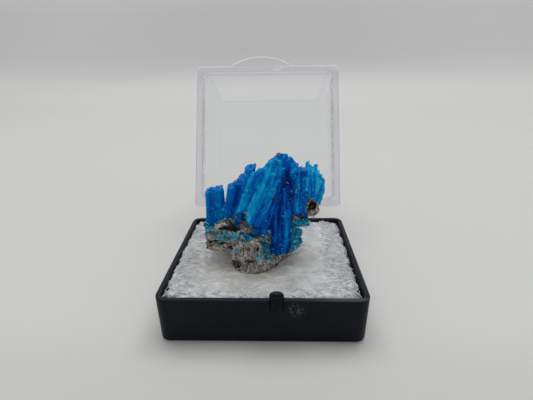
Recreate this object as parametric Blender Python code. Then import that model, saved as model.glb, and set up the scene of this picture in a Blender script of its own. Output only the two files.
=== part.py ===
"""A chalcanthite specimen on fibre padding, in a small black tray whose clear hinged lid stands open.

+Z is up and -Y is the front. The origin is the centre of the tray's flat underside.
Shapes are drawn in millimetres and scaled to metres as they become objects.
"""

import math
import random
from collections import namedtuple

import bmesh
import bpy
from mathutils import Matrix, Vector, noise
from mathutils.bvhtree import BVHTree

MM = 0.001
GAP = 0.3            # left between pieces that touch
SEED = 11

# Tray
TRAY_WIDTH = 57.0    # outside, at the rim
TRAY_HEIGHT = 13.5
TRAY_TAPER = 0.5     # each side comes in by this much at the bottom
TRAY_WALL = 1.4
TRAY_FLOOR = 1.4
TRAY_CORNER = 3.0
TRAY_FOOT = 1.2      # radius of the edge round the underside
RIM_ROUND = 0.3      # the rim's outer edge is eased by this
RIM_INNER_ROUND = 0.1
FLOOR_FILLET = 0.8   # inside, where the walls meet the floor
CORNER_STEPS = 4

# Latch post on the tray's front wall
POST_X = 3.9
POST_RADIUS = 1.75
POST_BOTTOM = 11.6
POST_TOP = 15.8
POST_OUT = 0.8       # the post's axis stands this far in front of the rim
POST_CHAMFER = 0.3
POST_SIDES = 20
POST_CLEARANCE = 0.25

# Hinge
HINGE_BACK = 3.6     # the axis lies this far behind the rim
HINGE_Z = 13.6
LUG_CENTRES = (-14.0, 14.0)
LUG_WIDTH = 4.0
LUG_RADIUS = 1.7
LUG_TOP = 12.9
LUG_BOTTOM = 8.5
LUG_NECK = 0.9       # the lug's web leaves the wall this far behind the rim
BORE_RADIUS = 1.15
BORE_SIDES = 16
PIN_SIDES = 12
PIN_RADIUS = 0.8
ARM_WIDTH = 1.8
ARM_RADIUS = 1.6
PIN_DEPTH = 1.6      # how far a pin reaches into its lug
OPEN_ANGLE = 113.8
HEEL_TOP = -0.1      # the heel's face spans from here
HEEL_LOW = 1.7       # to here, measured down the wall from the axis when the lid is open
ARM_ROOT = 1.5       # how far an arm runs into the flange

# Lid, as it lies when closed
FLANGE_WIDTH = 58.0
FLANGE_THICK = 1.8
LID_DEPTH = 34.0     # from the flange's underside to the outer face of the top plate
LID_WALL = 1.3
LID_HALF_LOW = 27.0  # outer half width of the lid's body at the flange
LID_HALF_HIGH = 25.2
LID_CORNER = 3.0
LID_EDGE = 0.9       # radius round the top plate
LID_FILLET = 0.5     # inside, round the top plate
TAB_X = -2.6
TAB_CHORD = 25.0
TAB_OUT = 3.8
TAB_THICK = 1.4
TAB_ROOT = 1.5       # how far the tab runs into the flange
TAB_STEPS = 12

# Padding
PAD_BOTTOM = TRAY_FLOOR + GAP
PAD_TOP = 12.5
PAD_CELLS = 18
PAD_RELIEF = 0.6
PAD_HALF = 26.65
PAD_FOOT = 0.955     # the underside's size as a share of the top's
PAD_SQUARENESS = 10
PAD_EDGE_DROP = 0.8  # the sides and the back slump by this much
PAD_FRONT_SHARE = 0.4  # and the front by this share of it
PAD_SLUMP_FROM = 0.8   # where the slump starts, as a share of the way to the edge
PAD_CLUMPS = ((0.16, 1.0), (0.37, 0.5))  # the clumps' frequency per millimetre, and their share

# Colours, as linear values
BLACK_PLASTIC = (0.012, 0.013, 0.016)
CLEAR_PLASTIC = (0.90, 0.90, 0.94)
WHITE_FIBRE = (0.62, 0.64, 0.66)
GREY_ROCK = (0.20, 0.18, 0.155)
BLUE_CRYSTAL = (0.008, 0.13, 0.42)
BROWN_ROCK = (0.17, 0.12, 0.08)

RIM_HALF = TRAY_WIDTH / 2
HINGE_Y = RIM_HALF + HINGE_BACK
POST_Y = -(RIM_HALF + POST_OUT)


def clear_scene():
    for old in list(bpy.data.objects):
        bpy.data.objects.remove(old, do_unlink=True)


def material(name, colour, roughness, alpha=1.0, transmission=0.0, ior=1.5):
    made = bpy.data.materials.new(name)
    made.use_nodes = True
    shader = made.node_tree.nodes["Principled BSDF"]
    shader.inputs["Base Color"].default_value = (*colour, 1.0)
    shader.inputs["Roughness"].default_value = roughness
    shader.inputs["Metallic"].default_value = 0.0
    shader.inputs["Alpha"].default_value = alpha
    shader.inputs["Transmission Weight"].default_value = transmission
    shader.inputs["IOR"].default_value = ior
    return made


def to_object(name, bm):
    """A bmesh drawn in millimetres becomes an object in metres."""
    bmesh.ops.transform(bm, matrix=Matrix.Scale(MM, 4), verts=bm.verts)
    bmesh.ops.recalc_face_normals(bm, faces=bm.faces)
    mesh = bpy.data.meshes.new(name)
    bm.to_mesh(mesh)
    bm.free()
    made = bpy.data.objects.new(name, mesh)
    bpy.context.scene.collection.objects.link(made)
    return made


def bake(obj):
    """Applies the object's modifiers to its mesh."""
    graph = bpy.context.evaluated_depsgraph_get()
    mesh = bpy.data.meshes.new_from_object(obj.evaluated_get(graph))
    obj.modifiers.clear()
    old = obj.data
    obj.data = mesh
    bpy.data.meshes.remove(old)


def combine(obj, others, operation):
    """Unites obj with the others, or cuts them out of it, and removes them."""
    for other in others:
        modifier = obj.modifiers.new(operation, "BOOLEAN")
        modifier.operation = operation
        modifier.solver = "EXACT"
        modifier.object = other
    bake(obj)
    for other in others:
        bpy.data.objects.remove(other, do_unlink=True)


def rounded_square(half, corner, z):
    """Points round a square of that half width, anticlockwise seen from above."""
    points = []
    for quarter in range(4):
        turn = quarter * math.pi / 2
        for step in range(CORNER_STEPS + 1):
            angle = turn + step / CORNER_STEPS * math.pi / 2
            sx, sy = ((1, 1), (-1, 1), (-1, -1), (1, -1))[quarter]
            x = sx * (half - corner) + corner * math.cos(angle)
            y = sy * (half - corner) + corner * math.sin(angle)
            points.append(Vector((x, y, z)))
    return points


def loft(rings):
    """A closed bmesh skinned through rings of equal counts, with both ends filled."""
    bm = bmesh.new()
    loops = [[bm.verts.new(point) for point in ring] for ring in rings]
    for low, high in zip(loops, loops[1:]):
        for i in range(len(low)):
            bm.faces.new((low[i - 1], low[i], high[i], high[i - 1]))
    bm.faces.new(reversed(loops[0]))
    bm.faces.new(loops[-1])
    return bm


def extruded(outline, start, depth):
    """A closed bmesh: the outline's points in Y and Z, extruded along X from start by depth."""
    bm = bmesh.new()
    face = bm.faces.new([bm.verts.new((start, y, z)) for y, z in outline])
    made = bmesh.ops.extrude_face_region(bm, geom=[face])
    moved = [item for item in made["geom"] if isinstance(item, bmesh.types.BMVert)]
    bmesh.ops.translate(bm, vec=(depth, 0, 0), verts=moved)
    return bm


def cylinder(radius, start, end, sides):
    """A closed bmesh cylinder between two points."""
    bm = bmesh.new()
    axis = Vector(end) - Vector(start)
    place = Matrix.Translation((Vector(start) + Vector(end)) / 2)
    turn = axis.to_track_quat("Z", "Y").to_matrix().to_4x4()
    bmesh.ops.create_cone(
        bm, cap_ends=True, segments=sides, radius1=radius, radius2=radius,
        depth=axis.length, matrix=place @ turn,
    )
    return bm


def arc(centre_y, centre_z, radius, start, end, steps):
    """Points on an arc in the Y-Z plane; angles in degrees from +Y towards +Z."""
    points = []
    for step in range(steps + 1):
        angle = math.radians(start + (end - start) * step / steps)
        points.append((centre_y + radius * math.cos(angle), centre_z + radius * math.sin(angle)))
    return points


def make_tray():
    bottom_half = RIM_HALF - TRAY_TAPER
    inner_rim = RIM_HALF - TRAY_WALL
    inner_corner = TRAY_CORNER - TRAY_WALL
    foot_z = TRAY_FOOT * (1 - math.sqrt(0.5))
    outer_top = RIM_HALF - RIM_ROUND
    floor_half = inner_rim - TRAY_TAPER
    rings = [
        rounded_square(bottom_half - TRAY_FOOT, TRAY_CORNER - TRAY_FOOT, 0),
        rounded_square(bottom_half - foot_z, TRAY_CORNER - foot_z, foot_z),
        rounded_square(bottom_half, TRAY_CORNER, TRAY_FOOT),
        rounded_square(RIM_HALF, TRAY_CORNER, TRAY_HEIGHT - RIM_ROUND),
        rounded_square(outer_top, TRAY_CORNER - RIM_ROUND, TRAY_HEIGHT),
        rounded_square(inner_rim + RIM_INNER_ROUND, inner_corner + RIM_INNER_ROUND, TRAY_HEIGHT),
        rounded_square(inner_rim, inner_corner, TRAY_HEIGHT - RIM_INNER_ROUND),
        rounded_square(floor_half, inner_corner, TRAY_FLOOR + FLOOR_FILLET),
        rounded_square(floor_half - FLOOR_FILLET, inner_corner - FLOOR_FILLET, TRAY_FLOOR),
    ]
    tray = to_object("tray", loft(rings))
    post = to_object("post", latch_post())
    lugs = [to_object("lug", hinge_lug(x)) for x in LUG_CENTRES]
    combine(tray, [post, *lugs], "UNION")
    bores = []
    for x in LUG_CENTRES:
        start = (x - LUG_WIDTH, HINGE_Y, HINGE_Z)
        end = (x + LUG_WIDTH, HINGE_Y, HINGE_Z)
        bores.append(to_object("bore", cylinder(BORE_RADIUS, start, end, BORE_SIDES)))
    combine(tray, bores, "DIFFERENCE")
    return tray


def latch_post():
    """An upright peg with a chamfered top, half sunk in the front wall."""
    foot = Vector((POST_X, POST_Y, POST_BOTTOM))
    bm = cylinder(POST_RADIUS, foot, (POST_X, POST_Y, POST_TOP), POST_SIDES)
    top = max(bm.faces, key=lambda face: face.calc_center_median().z)
    outer = list(top.verts)
    bmesh.ops.inset_region(bm, faces=[top], thickness=POST_CHAMFER, depth=0)
    bmesh.ops.translate(bm, vec=(0, 0, -POST_CHAMFER), verts=outer)
    return bm


def hinge_lug(x):
    """A rounded ear on the rear wall, square to it, with its round end on the hinge axis."""
    root = RIM_HALF - TRAY_WALL / 2
    neck = RIM_HALF + LUG_NECK
    outline = [(root, LUG_BOTTOM - LUG_NECK), (root, LUG_TOP), (neck, LUG_TOP)]
    outline += arc(HINGE_Y, HINGE_Z, LUG_RADIUS, 130, -50, 10)
    outline.append((neck, LUG_BOTTOM))
    return extruded(outline, x - LUG_WIDTH / 2, LUG_WIDTH)


def make_lid():
    """The lid is drawn closed, then turned open about its hinge."""
    low = TRAY_HEIGHT + GAP
    flange_top = low + FLANGE_THICK
    high = low + LID_DEPTH
    edge = LID_EDGE * (1 - math.sqrt(0.5))
    inner_corner = LID_CORNER - LID_WALL
    inner_high = LID_HALF_HIGH - LID_WALL
    rings = [
        rounded_square(inner_high - LID_FILLET, inner_corner - LID_FILLET, high - LID_WALL),
        rounded_square(inner_high, inner_corner, high - LID_WALL - LID_FILLET),
        rounded_square(LID_HALF_LOW - LID_WALL, inner_corner, low),
        rounded_square(FLANGE_WIDTH / 2, TRAY_CORNER, low),
        rounded_square(FLANGE_WIDTH / 2, TRAY_CORNER, flange_top),
        rounded_square(LID_HALF_LOW, LID_CORNER, flange_top),
        rounded_square(LID_HALF_HIGH, LID_CORNER, high - LID_EDGE),
        rounded_square(LID_HALF_HIGH - edge, LID_CORNER - edge, high - edge),
        rounded_square(LID_HALF_HIGH - LID_EDGE, LID_CORNER - LID_EDGE, high),
    ]
    lid = to_object("lid", loft(rings))
    arms = [to_object("arm", hinge_arm(x, side)) for x in LUG_CENTRES for side in (-1, 1)]
    pins = [to_object("pin", hinge_pin(x, side)) for x in LUG_CENTRES for side in (-1, 1)]
    combine(lid, [to_object("tab", thumb_tab(low)), *arms, *pins], "UNION")
    hole_radius = POST_RADIUS + POST_CLEARANCE
    hole = cylinder(hole_radius, (POST_X, POST_Y, low - 1), (POST_X, POST_Y, flange_top + 1), POST_SIDES)
    combine(lid, [to_object("hole", hole)], "DIFFERENCE")
    axis = Vector((0, HINGE_Y, HINGE_Z)) * MM
    lid.data.transform(Matrix.Translation(-axis))
    lid.location = axis
    lid.rotation_euler = (-math.radians(OPEN_ANGLE), 0, 0)
    return lid


def thumb_tab(low):
    """A thin segment of a disc that stands out from the front flange."""
    radius = ((TAB_CHORD / 2) ** 2 + TAB_OUT**2) / (2 * TAB_OUT)
    half_angle = math.asin(TAB_CHORD / 2 / radius)
    front = -FLANGE_WIDTH / 2
    centre_y = front - TAB_OUT + radius
    outline = [Vector((TAB_X - TAB_CHORD / 2, front + TAB_ROOT, low))]
    for step in range(TAB_STEPS + 1):
        angle = half_angle * (2 * step / TAB_STEPS - 1)
        x = TAB_X + radius * math.sin(angle)
        y = centre_y - radius * math.cos(angle)
        outline.append(Vector((x, y, low)))
    outline.append(Vector((TAB_X + TAB_CHORD / 2, front + TAB_ROOT, low)))
    bm = bmesh.new()
    face = bm.faces.new([bm.verts.new(point) for point in outline])
    made = bmesh.ops.extrude_face_region(bm, geom=[face])
    moved = [item for item in made["geom"] if isinstance(item, bmesh.types.BMVert)]
    bmesh.ops.translate(bm, vec=(0, 0, TAB_THICK), verts=moved)
    return bm


def arm_start(x, side):
    """Where the arm on that side of a lug starts along X."""
    return x + side * (LUG_WIDTH / 2 + GAP) - (ARM_WIDTH if side < 0 else 0)


def hinge_arm(x, side):
    """A flat arm from the rear flange to the hinge, with a heel that stops the open lid on the wall."""
    low = TRAY_HEIGHT + GAP + RIM_INNER_ROUND
    high = TRAY_HEIGHT + GAP + FLANGE_THICK - RIM_INNER_ROUND
    root = FLANGE_WIDTH / 2 - ARM_ROOT
    heel_turn = 180 + OPEN_ANGLE
    out = Vector((math.cos(math.radians(heel_turn)), math.sin(math.radians(heel_turn))))
    along = Vector((-out.y, out.x))
    face = Vector((HINGE_Y, HINGE_Z)) + out * (HINGE_BACK - GAP)
    outline = [(root, high), (root, low), (FLANGE_WIDTH / 2 + GAP, low)]
    outline += arc(HINGE_Y, HINGE_Z, ARM_RADIUS, 200, heel_turn - 45, 3)
    outline += [tuple(face + along * HEEL_TOP), tuple(face + along * HEEL_LOW)]
    outline += arc(HINGE_Y, HINGE_Z, ARM_RADIUS, heel_turn + 75, 360 + 95, 5)
    return extruded(outline, arm_start(x, side), ARM_WIDTH)


def hinge_pin(x, side):
    """A stub pin that reaches from an arm into the lug's bore."""
    root = x + side * (LUG_WIDTH / 2 + GAP + ARM_WIDTH / 2)
    tip = x + side * (LUG_WIDTH / 2 - PIN_DEPTH)
    return cylinder(PIN_RADIUS, (root, HINGE_Y, HINGE_Z), (tip, HINGE_Y, HINGE_Z), PIN_SIDES)


def rock_lump(points, jitter, rng):
    """The convex hull of some points, each moved a little."""
    bm = bmesh.new()
    for x, y, z in points:
        shift = [rng.uniform(-jitter, jitter) for _ in range(3)]
        bm.verts.new((x + shift[0], y + shift[1], z + shift[2]))
    made = bmesh.ops.convex_hull(bm, input=bm.verts)
    loose = [item for item in made["geom_interior"] if isinstance(item, bmesh.types.BMVert)]
    bmesh.ops.delete(bm, geom=loose, context="VERTS")
    return bm


ROCK_MAIN = (
    (-10.0, -7.0, 11.0), (-7.5, -11.0, 11.2), (-3.0, -13.6, 11.3), (0.8, -11.0, 11.2),
    (4.3, -6.4, 11.2), (8.4, -0.8, 11.5), (9.4, 3.5, 12.0), (7.5, 8.5, 11.5), (0.0, 10.5, 11.2),
    (-9.0, 8.5, 11.4), (-12.4, 3.5, 12.0), (-11.0, -8.5, 16.5), (-6.5, -12.0, 17.5), (-2.0, -13.0, 16.0),
    (2.5, -10.0, 16.0), (7.5, -4.0, 17.0), (9.8, 3.0, 18.0), (8.0, 9.0, 19.0), (-1.0, 11.0, 20.0),
    (-10.5, 8.0, 20.0), (-8.0, -8.5, 23.6), (-1.0, -9.5, 22.2), (5.0, -5.0, 23.0), (6.0, 5.0, 24.5),
    (-6.0, 6.0, 25.0), (-11.0, -2.0, 23.5),
)
ROCK_LEDGE = (
    (-18.0, -3.3, 19.6), (-16.8, -5.8, 19.8), (-9.0, -7.6, 18.8), (-18.0, 4.0, 19.8), (-9.0, 7.0, 19.0),
    (-17.6, -3.0, 23.4), (-16.4, -5.4, 23.2), (-9.0, -7.4, 23.8), (-17.2, 4.0, 23.6), (-10.0, 7.0, 23.4),
)
ROCK_SHELF = (
    (-18.1, -2.2, 16.8), (-17.2, -4.4, 17.0), (-9.0, -6.0, 16.0), (-17.8, 3.4, 16.9), (-9.0, 5.0, 15.8),
    (-18.2, -2.2, 18.6), (-17.2, -4.6, 18.8), (-9.0, -6.6, 19.2), (-18.0, 3.4, 18.8), (-9.0, 6.0, 20.0),
)
ROCK_SLAB = (
    (-3.2, -12.4, 21.4), (1.6, -11.6, 21.8), (-3.4, -12.0, 23.2), (1.2, -11.4, 23.4), (-3.0, -6.0, 21.0),
    (2.4, -6.0, 21.0), (-3.0, -7.0, 23.6), (2.0, -7.0, 23.8),
)
ROCK_BROW = (
    (-14.6, -7.6, 23.4), (-9.6, -8.6, 23.4), (-14.4, -7.4, 25.4), (-9.8, -8.2, 25.8), (-14.0, -2.0, 23.6),
    (-9.0, -2.0, 23.6), (-13.8, -3.0, 25.8), (-9.4, -3.0, 26.4),
)
ROCK_VOXEL = 0.9
ROCK_FACES = 1550
ROCK_ROUGHNESS = 0.9    # how deep the crags are
ROCK_FREQUENCY = 0.32   # crags per millimetre
ROCK_NOISE_AT = Vector((3.0, 1.0, 7.0))
# The crags are a sum of broad swells, cell-shaped crags and fine grit: frequency and share of each.
BROAD_SWELL = (1.0, 0.7)
CELL_CRAGS = (1.4, 0.8)
FINE_GRIT = (3.1, 0.35)
CELL_MIDDLE = 0.45      # the cell noise's mean, taken off so that the rock keeps its size


def make_rock(rng):
    lumps = (ROCK_MAIN, ROCK_LEDGE, ROCK_SHELF, ROCK_SLAB, ROCK_BROW)
    rock = to_object("matrix_rock", rock_lump(lumps[0], 0.4, rng))
    others = [to_object("lump", rock_lump(points, 0.3, rng)) for points in lumps[1:]]
    combine(rock, others, "UNION")
    remesh = rock.modifiers.new("even skin", "REMESH")
    remesh.mode = "VOXEL"
    remesh.voxel_size = ROCK_VOXEL * MM
    bake(rock)
    roughen(rock)
    thin_out(rock, ROCK_FACES)
    return rock


def roughen(obj):
    """Pushes a mesh's points in and out along their normals by a craggy noise."""
    bm = bmesh.new()
    bm.from_mesh(obj.data)
    bm.normal_update()
    shifts = []
    for vert in bm.verts:
        place = vert.co / MM * ROCK_FREQUENCY + ROCK_NOISE_AT
        broad = noise.noise(place * BROAD_SWELL[0]) * BROAD_SWELL[1]
        cell = (noise.voronoi(place * CELL_CRAGS[0])[0][0] - CELL_MIDDLE) * CELL_CRAGS[1]
        fine = noise.noise(place * FINE_GRIT[0]) * FINE_GRIT[1]
        shifts.append(vert.normal * (broad + cell + fine) * ROCK_ROUGHNESS * MM)
    for vert, shift in zip(bm.verts, shifts):
        vert.co += shift
    bm.to_mesh(obj.data)
    bm.free()


def thin_out(obj, faces):
    """Brings a mesh down to about that many triangles."""
    count = sum(len(face.vertices) - 2 for face in obj.data.polygons)
    decimate = obj.modifiers.new("fewer faces", "DECIMATE")
    decimate.ratio = min(1.0, faces / count)
    bake(obj)


# Each bundle of blades: its left and right edge at the foot and at the head, as (X, Z) seen from the
# front, the front face's Y at the foot and at the head, how deep it is, blades across, rows deep,
# how far the heads drop from front to back, and how unevenly they end.
Bundle = namedtuple(
    "Bundle", "foot_left foot_right head_left head_right y_foot y_head depth count rows drop uneven",
)
BUNDLES = {
    "left block": ((-19.0, 21.5), (-12.0, 21.5), (-17.8, 35.5), (-12.9, 35.6), -3.2, -2.8, 7.0, 4, 2, 1.8, 0.3),
    "left notch": ((-13.6, 22.0), (-10.2, 22.0), (-13.4, 30.0), (-10.6, 30.6), -2.2, -2.0, 4.0, 2, 1, 0.6, 0.3),
    "left fan": ((-12.4, 22.0), (-7.2, 22.0), (-10.3, 35.6), (-1.6, 42.2), -3.0, -2.6, 6.5, 6, 2, 1.8, 0.6),
    "bright blade": ((-8.3, 28.8), (-5.2, 28.8), (-4.2, 39.8), (0.4, 41.6), -6.6, -5.2, 3.6, 3, 1, 1.2, 0.4),
    "broad blade": ((-5.6, 27.4), (-1.2, 25.2), (-0.9, 40.9), (3.6, 43.2), -8.8, -5.4, 5.4, 4, 2, 1.6, 0.4),
    "dark reeds": ((-3.6, 22.5), (2.6, 22.0), (1.8, 37.2), (5.6, 38.0), -8.6, -6.0, 6.0, 5, 2, 0.8, 0.8),
    "crest": ((-0.6, 22.0), (8.2, 22.0), (1.2, 43.6), (9.4, 43.2), -1.8, -0.8, 6.0, 6, 2, 2.0, 0.3),
    "hanging column": ((-0.4, 15.8), (8.0, 17.2), (2.6, 36.0), (8.4, 36.0), -8.8, -7.6, 5.5, 5, 2, 0.8, 0.4),
    "right block": ((7.6, 28.5), (13.0, 28.5), (8.4, 42.0), (13.4, 41.6), -6.0, -4.2, 7.0, 4, 2, 1.6, 0.4),
    "right spikes": ((12.2, 29.4), (16.6, 30.6), (13.0, 44.4), (17.9, 40.2), -2.2, -1.4, 5.0, 5, 2, 3.2, 0.7),
    "right edge": ((14.8, 29.8), (16.9, 30.6), (16.2, 38.0), (18.3, 36.0), -2.0, -1.0, 4.0, 2, 1, 1.6, 0.4),
    "rear left": ((-10.4, 21.0), (-2.0, 21.0), (-9.6, 29.6), (-1.4, 34.4), 3.0, 3.4, 6.5, 5, 2, 2.4, 0.8),
    "rear middle": ((-2.6, 21.0), (8.4, 21.0), (-1.4, 36.6), (8.8, 38.4), 3.4, 3.8, 6.5, 6, 2, 3.0, 0.8),
    "rear right": ((7.4, 23.6), (14.4, 25.0), (8.4, 37.2), (14.6, 36.8), 1.6, 2.0, 6.0, 4, 2, 3.0, 0.8),
}
# A dome over the crest bundle lifts its middle blades by this much.
CREST_RISE = 2.4
CREST_SINK = 0.7
BLADE_OVERLAP = 1.5   # how far neighbouring blades run into each other, in blade widths
BLADE_JOG = (0.1, 0.35)   # how far a blade strays sideways and in depth
BLADE_TWIST = 0.14
BLADE_WOBBLE = 0.07   # how far a corner of the section strays, as a share of the width
BLADE_TAPER = 0.92
# A blade's cross-section, as shares of its width and thickness: flat sides and a ridge front and back.
BLADE_SECTION = ((-0.5, -0.3), (0.0, -0.5), (0.5, -0.3), (0.5, 0.3), (0.0, 0.5), (-0.5, 0.3))


def blade(foot, head, across, width, thickness, rng):
    """One crystal blade: an uneven six-sided prism, a little narrower at its slanted head."""
    axis = (head - foot).normalized()
    side = (across - axis * across.dot(axis)).normalized()
    deep = axis.cross(side)
    bm = bmesh.new()
    turn = rng.uniform(-BLADE_TWIST, BLADE_TWIST)
    verts = []
    for share_side, share_deep in BLADE_SECTION:
        off_side = (share_side + rng.uniform(-BLADE_WOBBLE, BLADE_WOBBLE)) * width
        off_deep = (share_deep + rng.uniform(-BLADE_WOBBLE, BLADE_WOBBLE)) * thickness
        turned_side = off_side * math.cos(turn) - off_deep * math.sin(turn)
        turned_deep = off_side * math.sin(turn) + off_deep * math.cos(turn)
        verts.append(bm.verts.new(foot + side * turned_side - deep * turned_deep))
    face = bm.faces.new(verts)
    made = bmesh.ops.extrude_face_region(bm, geom=[face])
    moved = [item for item in made["geom"] if isinstance(item, bmesh.types.BMVert)]
    slant_side = rng.uniform(-0.5, 0.5)
    slant_deep = rng.uniform(-0.1, 0.4)
    for vert in moved:
        offset = vert.co - foot
        rise = offset.dot(side) * slant_side + offset.dot(deep) * slant_deep
        vert.co = head + offset * BLADE_TAPER + axis * rise
    return bm


def spread(index, count, share):
    """The centre of one of several overlapping strips that together fill 0 to 1."""
    return 0.5 if count == 1 else share / 2 + (1 - share) * index / (count - 1)


def bundle_blades(name, spec, rng):
    """The blades of one bundle, as bmeshes."""
    foot_ends = [Vector((x, spec.y_foot, z)) for x, z in (spec.foot_left, spec.foot_right)]
    head_ends = [Vector((x, spec.y_head, z)) for x, z in (spec.head_left, spec.head_right)]
    across = head_ends[1] - head_ends[0]
    width_share = BLADE_OVERLAP / (spec.count + BLADE_OVERLAP - 1)
    depth_share = BLADE_OVERLAP / (spec.rows + BLADE_OVERLAP - 1)
    width = across.length * width_share
    thickness = spec.depth * depth_share
    blades = []
    for row in range(spec.rows):
        back = spread(row, spec.rows, depth_share)
        for column in range(spec.count):
            share = spread(column, spec.count, width_share)
            stray = [rng.uniform(-jog, jog) for jog in BLADE_JOG]
            jog = Vector((stray[0], spec.depth * back + stray[1], 0))
            foot = foot_ends[0].lerp(foot_ends[1], share) + jog
            head = head_ends[0].lerp(head_ends[1], share) + jog
            lift = rng.uniform(-1, 1) * spec.uneven - spec.drop * back
            if name == "crest":
                lift += CREST_RISE * (1 - (2 * share - 1) ** 2) - CREST_SINK
            head += (head - foot).normalized() * lift
            blades.append(blade(foot, head, across, width, thickness, rng))
    return blades


# Turquoise crust lumps: centre (X, Y, Z) and radius.
CRUST = (
    (8.8, -6.4, 26.9, 1.4), (10.2, -5.6, 25.6, 1.3), (9.2, -6.8, 24.2, 1.6), (10.3, -5.8, 22.4, 1.5),
    (9.0, -6.8, 21.2, 1.6), (10.4, -5.6, 19.9, 1.4), (8.9, -6.6, 18.6, 1.6), (10.2, -5.0, 18.2, 1.1),
    (11.6, -4.6, 25.4, 1.3), (12.5, -3.9, 25.1, 1.75), (8.4, -4.4, 26.0, 2.2), (8.6, -4.2, 22.4, 2.3),
    (8.8, -3.6, 19.2, 2.2), (-18.0, -3.2, 24.0, 1.0), (-17.4, -3.8, 22.6, 1.0),
)
FRAGMENT_CENTRE = Vector((14.7, -3.2, 29.6))
FRAGMENT_SIZE = Vector((2.5, 2.3, 2.7))
KNOBBLE = (0.82, 1.12)   # a lump's points lie between these shares of its radius
SHELL_LIMIT = 2.0        # the most that a sharp corner stretches an offset


def crust_lump(x, y, z, radius, rng):
    """A knobbly ball with flat facets."""
    bm = bmesh.new()
    bmesh.ops.create_icosphere(bm, subdivisions=1, radius=radius)
    for vert in bm.verts:
        vert.co *= rng.uniform(*KNOBBLE)
    bmesh.ops.rotate(bm, verts=bm.verts, matrix=Matrix.Rotation(rng.uniform(0, 3), 3, (1, 1, 0)))
    bmesh.ops.translate(bm, vec=(x, y, z), verts=bm.verts)
    return bm


def grown_together(name, shapes):
    """One object united from many overlapping bmeshes."""
    objects = [to_object(name, bm) for bm in shapes]
    others = bpy.data.collections.new("others")
    bpy.context.scene.collection.children.link(others)
    for other in objects[1:]:
        others.objects.link(other)
    whole = objects[0]
    whole.name = name
    modifier = whole.modifiers.new("grown together", "BOOLEAN")
    modifier.operation = "UNION"
    modifier.solver = "EXACT"
    modifier.operand_type = "COLLECTION"
    modifier.collection = others
    bake(whole)
    for other in objects[1:]:
        bpy.data.objects.remove(other, do_unlink=True)
    bpy.data.collections.remove(others)
    return whole


def swollen(obj, distance):
    """A copy of obj whose surface stands out by that distance, for cutting a neighbour back."""
    bm = bmesh.new()
    bm.from_mesh(obj.data)
    bm.normal_update()
    shifts = [vert.normal * min(vert.calc_shell_factor(), SHELL_LIMIT) * distance * MM for vert in bm.verts]
    for vert, shift in zip(bm.verts, shifts):
        vert.co += shift
    mesh = bpy.data.meshes.new("swollen")
    bm.to_mesh(mesh)
    bm.free()
    made = bpy.data.objects.new("swollen", mesh)
    bpy.context.scene.collection.objects.link(made)
    return made


def keep_largest(obj):
    """Drops the scraps that a cut has left loose."""
    bm = bmesh.new()
    bm.from_mesh(obj.data)
    left = set(bm.verts)
    islands = []
    while left:
        start = left.pop()
        island = {start}
        edge_of_search = [start]
        while edge_of_search:
            vert = edge_of_search.pop()
            for edge in vert.link_edges:
                other = edge.other_vert(vert)
                if other in left:
                    left.remove(other)
                    island.add(other)
                    edge_of_search.append(other)
        islands.append(island)
    islands.sort(key=len)
    loose = [vert for island in islands[:-1] for vert in island]
    bmesh.ops.delete(bm, geom=loose, context="VERTS")
    bm.to_mesh(obj.data)
    bm.free()


def make_fragment(rng):
    bm = bmesh.new()
    bmesh.ops.create_icosphere(bm, subdivisions=2, radius=1.0)
    for vert in bm.verts:
        rough = rng.uniform(*KNOBBLE)
        vert.co = FRAGMENT_CENTRE + vert.co * FRAGMENT_SIZE * rough
    return to_object("matrix_fragment", bm)


def make_crystals(rock, fragment, rng):
    shapes = []
    for name, spec in BUNDLES.items():
        shapes += bundle_blades(name, Bundle(*spec), rng)
    shapes += [crust_lump(*place, rng) for place in CRUST]
    crystals = grown_together("chalcanthite", shapes)
    combine(crystals, [swollen(rock, GAP), swollen(fragment, GAP)], "DIFFERENCE")
    keep_largest(crystals)
    return crystals


def pad_outline(u, v, half):
    """A place in the unit square, moved onto a square with softly rounded corners."""
    reach = max(abs(u), abs(v))
    if reach < 1e-6:
        return 0.0, 0.0
    power = PAD_SQUARENESS
    round_off = (abs(u / reach) ** power + abs(v / reach) ** power) ** (-1 / power)
    return u * half * round_off, v * half * round_off


def pad_height(x, y, u, v):
    """The loose top of the wadding: clumps, and a slope down into the gap along the walls."""
    clumps = sum(noise.noise(Vector((x, y, 0)) * frequency) * share for frequency, share in PAD_CLUMPS)
    reach = max(abs(u), abs(v))
    towards_front = v < 0 and abs(v) >= abs(u)
    drop = PAD_EDGE_DROP * (PAD_FRONT_SHARE if towards_front else 1.0)
    slump = drop * max(0.0, reach - PAD_SLUMP_FROM) / (1 - PAD_SLUMP_FROM)
    return PAD_TOP + PAD_RELIEF * clumps - slump


def shape_tree(obj):
    """A search tree of an object's faces, in millimetres."""
    points = [vert.co / MM for vert in obj.data.vertices]
    return BVHTree.FromPolygons(points, [list(face.vertices) for face in obj.data.polygons])


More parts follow.
